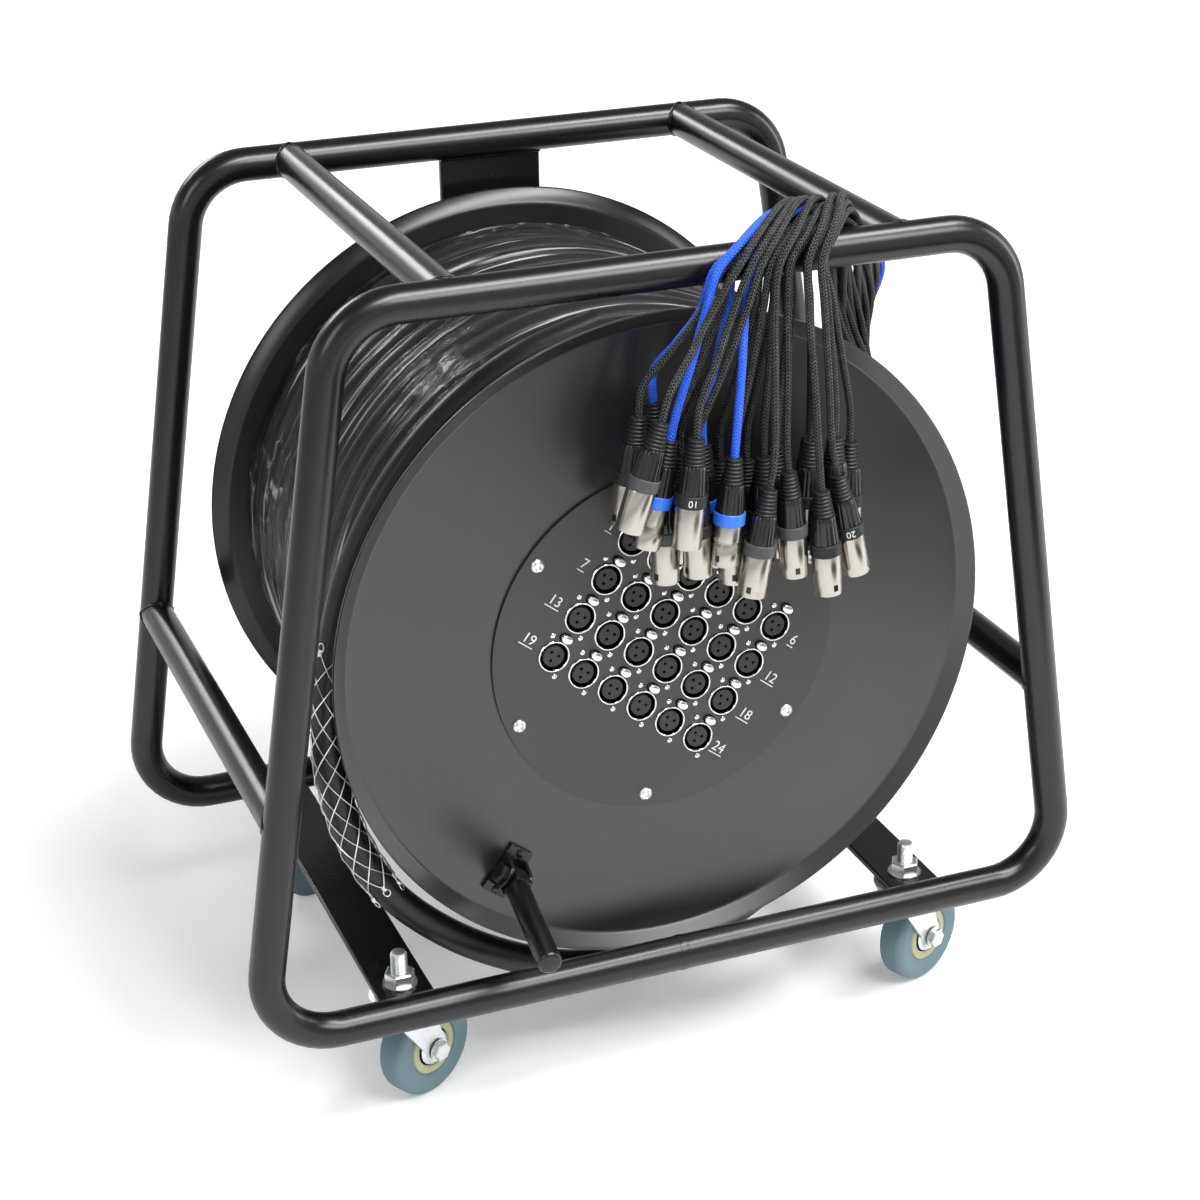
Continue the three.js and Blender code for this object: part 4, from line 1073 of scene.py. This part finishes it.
def makeAxle():
    back = loopPlane + plate["thickness"] / 2 - plate["joggle"]
    place = at(0, 0, drumHeight)
    bm = bmesh.new()
    bar = [(0, 35.2), (15, 35.2), (15, 39.2), (10, 39.2), (10, 160.3), (27, 160.3), (27, back - 5.3)]
    turned(bm, [*bar, (0, back - 5.3)], 40, place)
    hexHead(bm, 24, back + 2, back + 8, place)
    turned(bm, rod(16, back + 0.3, back + 1.9), 36, place)
    thread = [(0, back - 4)]
    for i in range(8):
        thread += [(8, back + i), (7.3, back + i + 0.5)]
    turned(bm, [*thread, (0, back + 8.1)], 28, place)
    addPiece("axle", bm, "turnedSteel", "frame", ["drum_axle"])


makeAxle()
print("frame made")

# Casters: fixed stem with nut and race, pressed fork that swivels, soft-tyred wheel
caster = {"setback": 36, "headings": (28, 25, 32, 20), "trail": 21, "wheelRadius": 37.5, "width": 22}
cheek = {"round": 10, "level": 37.5, "rise": 38, "half": 17, "outer": 13.75, "top": 86.8, "bend": 7}


def makeStem(label, x, y):
    bm = bmesh.new()
    thread = [(0, 93)]
    for z in (93.5 + i * 1.5 for i in range(20)):
        thread += [(6, z), (5.3, z + 0.75)]
    turned(bm, [*thread, (5, 123.8), (4.4, 124), (0, 124)], 20, upright)
    hexHead(bm, 19, 99.6, 108.3, upright)
    turned(bm, [(6, 98.2), (12.5, 98.2), (12.5, 99.5), (6, 99.5), (6, 98.2)], 28, upright)
    turned(bm, [(0, 89.2), (21.5, 89.2), (23, 90), (23, 91.2), (21, 92.7), (0, 92.7)], 40, upright)
    turned(bm, [(0, 83.3), (7.5, 83.3), (9, 84.2), (9, 85.3), (5, 85.3), (5, 92), (0, 92)], 24, upright)
    place = world @ at(x, y)
    addPiece(f"stem_{label}", bm, "zincPlate", "frame", [f"caster_stem_{label}"], place)


def forkGrid():
    radius, level, rise, widest, outer, top, bend = cheek.values()
    heights = [level - radius + radius * (1 - cos(radians(a))) for a in range(10, 91, 16)]
    spots = []
    for z in [*heights, 45, 55, 64, 72]:
        if z <= level:
            centre, half = caster["trail"], sqrt(max(radius**2 - (level - z) ** 2, 1))
        else:
            share = min((z - level) / rise, 1)
            centre, half = caster["trail"] * (1 - share), radius + (widest - radius) * share
        spots.append((outer, z, centre, half))
    spots += [(y, z, 0, widest) for y, z in arcProfile(outer - bend, top - bend, bend, 0, 90, 4)]
    spots.append((0, top, 0, widest))
    spots += [(-y, z, centre, half) for y, z, centre, half in reversed(spots[:-1])]
    steps = (-1, -0.9, -0.45, 0, 0.45, 0.9, 1)
    return [[Vector((centre + half * t, y, z)) for t in steps] for y, z, centre, half in spots]


def bridged(bm, rings, closed=False):
    grid = [[bm.verts.new(p) for p in ring] for ring in rings]
    count = len(grid[0])
    for first, second in zip(grid, grid[1:]):
        for i in range(count if closed else count - 1):
            n = (i + 1) % count
            bm.faces.new((first[i], first[n], second[n], second[i]))
    return grid


def makeFork(label, x, y, heading):
    bm = bmesh.new()
    bridged(bm, forkGrid())
    bmesh.ops.recalc_face_normals(bm, faces=bm.faces)
    bmesh.ops.solidify(bm, geom=bm.faces[:] + bm.edges[:] + bm.verts[:], thickness=2.5)
    dish = [(5.3, 85.7), (19, 85.7), (21, 86.4), (22, 87.6), (21.4, 88.5), (19, 88.6), (12, 88.2)]
    turned(bm, [*dish, (5.3, 88.2), dish[0]], 40, upright)
    axle = at(caster["trail"], 0, caster["wheelRadius"])
    hexHead(bm, 13, 15.2, 20, axle)
    hexHead(bm, 13, 15.2, 20, axle @ spin(180))
    turned(bm, rod(4, -17.5, 17.5), 20, axle)
    for low, high in ((14.9, 15.9), (-15.9, -14.9)):
        turned(bm, rod(8.2, low, high), 28, axle)
    place, name = world @ at(x, y) @ spin(heading), f"fork_{label}"
    addPiece(name, bm, "zincPlate", name, [f"caster_fork_{label}"], place)


def mirrored(profile, shared=0):
    return [*profile, *[(r, -y) for r, y in reversed(profile[shared:])], profile[0]]


def makeWheel(label, x, y, heading):
    radius, half = caster["wheelRadius"], caster["width"] / 2
    shoulder = arcProfile(radius - 6, half - 6, 6, 0, 90, 6)
    tyre = [(radius, 0), *shoulder, (radius - 8, half - 0.2), (22, half - 0.8), (20.6, half - 2.2)]
    cream = [(20.6, half - 2.0), (19.8, half - 1.0), (15.2, half - 1.0), (14.4, half - 1.8)]
    bm = bmesh.new()
    turned(bm, mirrored(tyre, 1), 56, None, 0)
    turned(bm, mirrored(cream), 48, None, 1)
    # The thin gap beside the wheel's disc is painted shade
    turned(bm, mirrored([(14.4, half - 2.2), (4.3, half - 2.2)]), 40, None, 2)
    disc = [(4.3, half - 2), (12.8, half - 1.8), (13, half - 0.6), (11, half + 0.2), (7, half + 0.9)]
    disc += [(4.3, half + 1.1), (4.3, half - 2)]
    turned(bm, disc, 40, None, 3)
    turned(bm, disc, 40, spin(180), 3)
    place = world @ at(x, y) @ spin(heading) @ at(caster["trail"], 0, radius)
    name, finishSet = f"wheel_{label}", ["tyreRubber", "creamRing", "holeBlack", "zincPlate"]
    addPiece(name, bm, finishSet, name, [f"caster_wheel_{label}"], place)


stemPlace = loopPlane - caster["setback"]
casterSites = [("front_left", -1, -1), ("front_right", 1, -1), ("rear_left", -1, 1), ("rear_right", 1, 1)]
for (label, sideX, sideY), heading in zip(casterSites, caster["headings"]):
    x, y = sideX * straps["spread"], sideY * stemPlace
    makeStem(label, x, y)
    makeFork(label, x, y, heading)
    makeWheel(label, x, y, heading)
print("casters made")

# Drum: flanges, barrel, hub and the winding between them
drum = {
    "front": -157, "rear": 160, "radius": 240, "sides": 192, "sheet": 2.5, "flareWidth": 10, "flareDepth": 8,
}


def makeFlange(name, finish, face, outwards, bore, node):
    radius, sheet, flare = drum["radius"], drum["sheet"], drum["flareDepth"]
    bend = radius - drum["flareWidth"]
    inside = face - outwards * sheet
    slope = (flare - 1.4) / (drum["flareWidth"] - 1.4)
    profile = [(bore, inside), (bend - 2.5, inside)]
    profile += [(bend - 0.4, inside + outwards * 0.5), (bend + 1.2, inside + outwards * 1.5)]
    for edge, rise in ((radius - 0.6, flare - 0.4), (radius, flare + 0.6)):
        profile.append((edge, inside + outwards * rise))
    for edge, rise in ((radius, flare - 0.6), (radius - 0.8, flare), (radius - 1.6, flare - 0.5)):
        profile.append((edge, face + outwards * rise))
    for edge, rise in ((7.4, 0.9 + slope * 7.4), (1.2, 0.9 + slope * 1.2), (0, 0.9)):
        profile.append((bend - 0.2 + edge, face + outwards * rise))
    profile += [(bend - 1.1, face + outwards * 0.1), (bend - 2.2, face), (bend - 5, face), (bore, face)]
    bm = bmesh.new()
    turned(bm, [*profile, profile[0]], drum["sides"])
    addPiece(name, bm, finish, "drum", [node], drumWorld, smooth=50)


# Both flanges are the same paint; the rear one takes the darker frame coat, a painted shade
makeFlange("frontFlange", "flangePaint", drum["front"], -1, 113, "front_flange")
makeFlange("rearFlange", "powderCoat", drum["rear"], 1, 10.3, "rear_flange")

winding = {
    "Turns": 12.75,
    "Pitch": 22.6,
    "Winding Radius": 203,
    "Cable Radius": 11,
    "Steps Per Turn": 64,
    "Sides": 14,
    "Unevenness": 0.5,
}
windingStart = 1.5 - winding["Turns"] * winding["Pitch"] / 2


def makeWinding():
    mesh = grow(windingTree, {**winding, "Start": windingStart, "Material": materials["cableJacket"]})
    addPiece("outerWinding", mesh, None, "drum", ["cable_outer_layer"], drumWorld, smooth=80)
    core, profile = winding["Winding Radius"] - 22.4, [(136, -154)]
    for i in range(13):
        middle = windingStart + winding["Pitch"] * (i + 0.5)
        profile += [(core, middle - 11.2), (core + 7, middle - 8), (core + 10.5, middle)]
        profile.append((core + 7, middle + 8))
    bm = bmesh.new()
    turned(bm, [*profile, (core, 156.8), (136, 156.8), (136, -154)], 96)
    addPiece("innerLayers", bm, "cableJacket", "drum", ["cable_core"], drumWorld)


makeWinding()

# Clear film wrapped round the winding, tight over the turns and crumpled beside the flanges; its colour
# holds painted glints and painted shade in the grooves
film = {"radius": 214.7, "ends": (-152, 155), "cells": (400, 190), "sag": 3.2, "crumple": 2.2, "proud": 0.8}


def makeFilm():
    bm = bmesh.new()
    layer = bm.loops.layers.uv.verify()
    crumpleGlintLayer, valley = (bm.verts.layers.float.new(label) for label in ("crumpled", "valley"))
    (around, along), (low, high) = film["cells"], film["ends"]
    grid = []
    for share in (j / along for j in range(along + 1)):
        y = low + (high - low) * share
        row = []
        for angle in (2 * pi * i / around for i in range(around)):
            spot = Vector((cos(angle) * 3, share * 1.6, sin(angle) * 3))
            # Crumpled patches near the flanges and at the left: folds in the film that also carry painted
            # glints
            edge = max(0, 1 - min(share, 1 - share) * 11) * (0.45 + noise.noise(spot * 1.3))
            left = max(0, 1 - abs((degrees(angle) - 195) % 360 - 10) / 28)
            left *= max(0, 1 - abs(share - 0.8) / 0.22)
            patch = min(1, max(0, noise.noise(spot * 0.9) * 3.0 - 1.35) + max(0, edge) + left)
            crease = abs(noise.noise(spot * 4.3)) + 0.5 * abs(noise.noise(spot * 11))
            turn = (y - windingStart) / winding["Pitch"] - angle / (2 * pi)
            groove = 0.5 - 0.5 * cos(2 * pi * turn)
            rise = film["crumple"] * crease * (0.15 + patch) - film["sag"] * groove * (1 - min(patch, 1))
            radius = film["radius"] + min(rise, film["proud"])
            vert = bm.verts.new((radius * cos(angle), y, radius * sin(angle)))
            # Each point keeps its share of crumple and glint, and the painted shade of the groove between
            # turns
            vert[crumpleGlintLayer], vert[valley] = min(1, patch), groove**3 * (1 - min(1, patch)) * 0.95
            row.append(vert)
        grid.append(row)
    for j in range(along):
        for i in range(around):
            n = (i + 1) % around
            face = bm.faces.new((grid[j][i], grid[j][n], grid[j + 1][n], grid[j + 1][i]))
            for loop, u, v in zip(face.loops, (i, i + 1, i + 1, i), (j, j, j + 1, j + 1)):
                loop[layer].uv = (u / around, v / along)
    addPiece("stretchFilm", bm, "stretchFilm", "drum", (), drumWorld, smooth=80)


makeFilm()

hub = {"bore": 10.3, "back": 157.2, "front": 151.2, "end": 39.5, "screws": 6, "screwRing": 36}


def makeHub():
    bore, back, front, end = (hub[k] for k in ("bore", "back", "front", "end"))
    profile = [(bore, end), (23, end), (24, end + 1), (24, front - 2), (26, front), (45, front)]
    bm = bmesh.new()
    turned(bm, [*profile, (46, front + 1), (46, back), (bore, back), (bore, end)], 48)
    addPiece("hub", bm, "turnedSteel", "drum", ["hub_bearing"], drumWorld)
    bm = bmesh.new()
    turned(bm, [(132.5, -154.2), (135, -154.2), (135, back), (132.5, back), (132.5, -154.2)], 128)
    addPiece("barrel", bm, "flangePaint", "drum", ["drum_barrel"], drumWorld)
    bm = bmesh.new()
    turned(bm, [(0, 0), (4.6, 0), (4.4, 1.2), (3.2, 2.3), (1.6, 2.8), (0, 2.9)], 20, upright)
    values = {"Count": hub["screws"], "Ring Radius": hub["screwRing"], "Seed": 3}
    mesh = repeatUnit(ringTree, bm, "zincPlate", **values)
    addPiece("hubScrews", mesh, None, "drum", (), drumWorld @ at(0, 160, 0) @ spin(-90, "X"))


makeHub()
print("drum made")

# Socket panel: plate with holes, ring, groove and insert of each socket, screws and numbers
panel = {"face": -159.3, "thickness": 2, "radius": 127, "columns": 6, "rows": 4, "pitches": (27.0, 32.0)}
socket = {"ring": 11.4, "bore": 10.2, "insert": 7.7, "proud": 1.5, "depth": 12, "pins": 3.6, "pinHole": 1.15}
latch = {"rise": 14.9, "width": 9, "height": 6, "proud": 3.5, "length": 9}
panelPlace = drumWorld @ at(0, panel["face"], 0) @ forward
socketPlaces = [
    ((column - 2.5) * panel["pitches"][0], (1.5 - row) * panel["pitches"][1])
    for row in range(panel["rows"])
    for column in range(panel["columns"])
]


def ovalOutline(width, height, x=0, z=0, count=20):
    return [(x + width / 2 * u, z + height / 2 * v) for u, v in circleOutline(1, count)]


def overGrid(bm, material, name):
    values = {"Columns": panel["columns"], "Rows": panel["rows"]}
    values.update(zip(("Column Pitch", "Row Pitch"), panel["pitches"]))
    addPiece(name, repeatUnit(gridTree, bm, material, **values), None, "drum", (), panelPlace)


def makePanel():
    outlines = [circleOutline(panel["radius"], 144)]
    for x, z in socketPlaces:
        outlines.append(circleOutline(socket["ring"] - 0.6, 28, x, z))
        outlines.append(ovalOutline(latch["width"] + 1.2, latch["height"] + 1.2, x, z + latch["rise"]))
    place = drumWorld @ at(0, panel["face"] + panel["thickness"] / 2, 0) @ forward
    mesh = holedPlate(outlines, panel["thickness"], 0.25)
    addPiece("socketPanel", mesh, "panelPaint", "drum", ["connector_panel"], place)
    ring, bore, insert, proud, depth = (socket[k] for k in ("ring", "bore", "insert", "proud", "depth"))
    bm = bmesh.new()
    profile = [(ring, -1.8), (ring, proud - 0.4), (ring - 0.35, proud), (bore + 0.3, proud)]
    turned(bm, [*profile, (bore, proud - 0.35), (bore, -depth), (ring, -depth), (ring, -1.8)], 36, upright)
    overGrid(bm, "brightNickel", "socketRings")
    bm = bmesh.new()
    # A near-black well behind each socket, painted shade in the ring's gap
    turned(bm, rod(ring, -depth - 6, -depth + 0.2), 24, upright)
    overGrid(bm, "holeBlack", "socketWells")
    pins = circleOutline(socket["pins"], 3, start=radians(270))
    holes = [circleOutline(socket["pinHole"], 12, *pin) for pin in pins]
    face = holedPlate([circleOutline(insert, 32), *holes], 4, 0.2)
    face.transform(at(0, 0, proud - 1.2 - 2))
    bm = bmesh.new()
    bm.from_mesh(face)
    overGrid(bm, "insertPlastic", "socketInserts")
    bm = bmesh.new()
    # A near-black core behind each insert, painted shade in its pin holes
    turned(bm, rod(insert, -depth, proud - 5.1), 28, upright)
    overGrid(bm, "holeBlack", "socketCores")
    bm = bmesh.new()
    screw = [(0, -0.3), (1.9, -0.3), (1.85, 0.3), (1.2, 0.8), (0.7, 0.9), (0.5, 0.5), (0, 0.5)]
    for x, z in ((-9.5, 12), (9.5, -12)):
        turned(bm, screw, 14, at(x, z) @ upright)
    overGrid(bm, "brightNickel", "socketScrews")


makePanel()


def makeLatches():
    top = latch["proud"]
    layers = ((1, top - latch["length"]), (1, top - 1.1), (0.98, top - 0.5), (0.92, top - 0.15), (0.8, top))
    for index, (x, z) in enumerate(socketPlaces):
        bm = bmesh.new()
        outlines = [(ovalOutline(latch["width"] * s, latch["height"] * s, count=24), y) for s, y in layers]
        rings = bridged(bm, [[(u, -y, v) for u, v in outline] for outline, y in outlines], closed=True)
        bm.faces.new(rings[0])
        bm.faces.new(rings[-1])
        place = drumWorld @ at(x, panel["face"], z + latch["rise"])
        name, node = f"pushTab_{index + 1:02d}", f"latch_{index + 1:02d}"
        addPiece(name, bm, "brightNickel", node, [node], place, smooth=50)


makeLatches()

panelScrews = {"count": 6, "ring": 117.7, "radius": 5, "rise": 2.6, "socketRadius": 2.3}


def makePanelScrews():
    r, h, s = (panelScrews[k] for k in ("radius", "rise", "socketRadius"))
    head = [(0, -0.2), (r, -0.2), (r, 0.5), (r * 0.92, h * 0.55), (r * 0.7, h * 0.88), (s + 0.4, h)]
    bm = bmesh.new()
    turned(bm, [*head, (s, h - 0.3), (s, h - 1.6), (0, h - 1.6)], 24, upright)
    values = {"Count": panelScrews["count"], "Ring Radius": panelScrews["ring"], "Seed": 5}
    mesh = repeatUnit(ringTree, bm, "zincPlate", **values)
    addPiece("panelScrews", mesh, None, "drum", (), panelPlace)


makePanelScrews()

numbers = {
    "size": 10.5,
    "raise": 0.06,
    "places": {
        "1": (-87.1, 45.9), "7": (-88.2, 14.1), "13": (-90.7, -17.6), "19": (-90.9, -49.0),
        "6": (88.3, 42.9), "12": (90.4, 11.7), "18": (90.7, -20.0), "24": (88.0, -50.5),
    },
}


def makeNumbers():
    flat = Matrix(((1, 0, 0, 0), (0, 0, 1, 0), (0, 1, 0, 0), (0, 0, 0, 1)))
    bm = bmesh.new()
    for body, (x, z) in numbers["places"].items():
        mesh = textMesh(body, numbers["size"], numbers["raise"])
        mesh.transform(at(x, z))
        bm.from_mesh(mesh)
        half = 3 * len(body)
        plated(bm, oblong(x - half, x + half, z - 2.4, z - 1.7), -numbers["raise"], numbers["raise"], flat)
    place = drumWorld @ at(0, panel["face"] - 0.04, 0) @ forward
    addPiece("panelNumbers", bm, "printWhite", "drum", (), place, smooth=20)


makeNumbers()
print("socket panel made")

# Crank: a bracket on the front flange and a round handle that folds flat
crank = {"rim": 197, "pivot": 14, "radius": 8.5, "length": 98, "lean": 8.5, "lug": 13, "ear": 3, "eye": 10}


def makeCrank():
    face, rim, radius, reach = drum["front"], crank["rim"], crank["radius"], crank["eye"]
    pivot, foot = face - crank["pivot"], face - 0.3
    inner = crank["lug"] / 2 + 0.3
    outer = inner + crank["ear"]
    sideways = Matrix(((0, 1, 0, 0), (1, 0, 0, 0), (0, 0, 1, 0), (0, 0, 0, 1)))
    turns = [radians(a) for a in range(0, 181, 12)]
    ear = [(foot, -12), (foot, 12), (foot - 3, 12)]
    ear += [(pivot - reach * sin(a), reach * cos(a)) for a in turns] + [(foot - 3, -12)]
    bm = bmesh.new()
    plated(bm, ear, -outer, -inner, sideways)
    plated(bm, ear, inner, outer, sideways)
    plated(bm, oblong(-outer, outer, -19, 19), foot - 3, foot)
    place = drumWorld @ at(0, 0, -rim)
    addPiece("crankBracket", bm, "powderCoat", "drum", ["crank_bracket"], place, bevel=0.6)
    bm = bmesh.new()
    along = at(0, pivot, -rim) @ spin(-90)
    dome = [(0, outer), (6.8, outer), (7, outer + 0.8), (6, outer + 2.9), (4, outer + 4), (0, outer + 4.5)]
    turned(bm, dome, 32, along)
    hexHead(bm, 13, outer, outer + 4.5, along @ spin(180))
    turned(bm, rod(4, -outer - 3, outer), 24, along)
    screw = [(0, 0), (3, 0), (2.8, 1), (1.5, 1.7), (0, 1.8)]
    for z in (-15.5, 15.5):
        turned(bm, screw, 20, at(0, foot - 3, z - rim) @ spin(180))
    addPiece("crankBolt", bm, "powderCoat", "drum", (), drumWorld)
    bm = bmesh.new()
    tip = -crank["length"]
    bar = [(0, tip), (radius - 2.2, tip), (radius - 1.2, tip + 0.5), (radius - 0.3, tip + 1.4)]
    bar += [(radius, tip + 2.6), (radius, -13.5), (radius - 0.8, -12.4), (6.5, -10.5), (0, -10.5)]
    turned(bm, bar, 40)
    lug = [(-13.5, -radius), (-13.5, radius)] + [(radius * sin(a), radius * cos(a)) for a in turns]
    plated(bm, lug, -crank["lug"] / 2, crank["lug"] / 2, sideways)
    place = drumWorld @ at(0, pivot, -rim) @ spin(crank["lean"], "X")
    addPiece("crankHandle", bm, "powderCoat", "crank", ["crank_handle"], place, bevel=0.4)


makeCrank()
print("crank made")
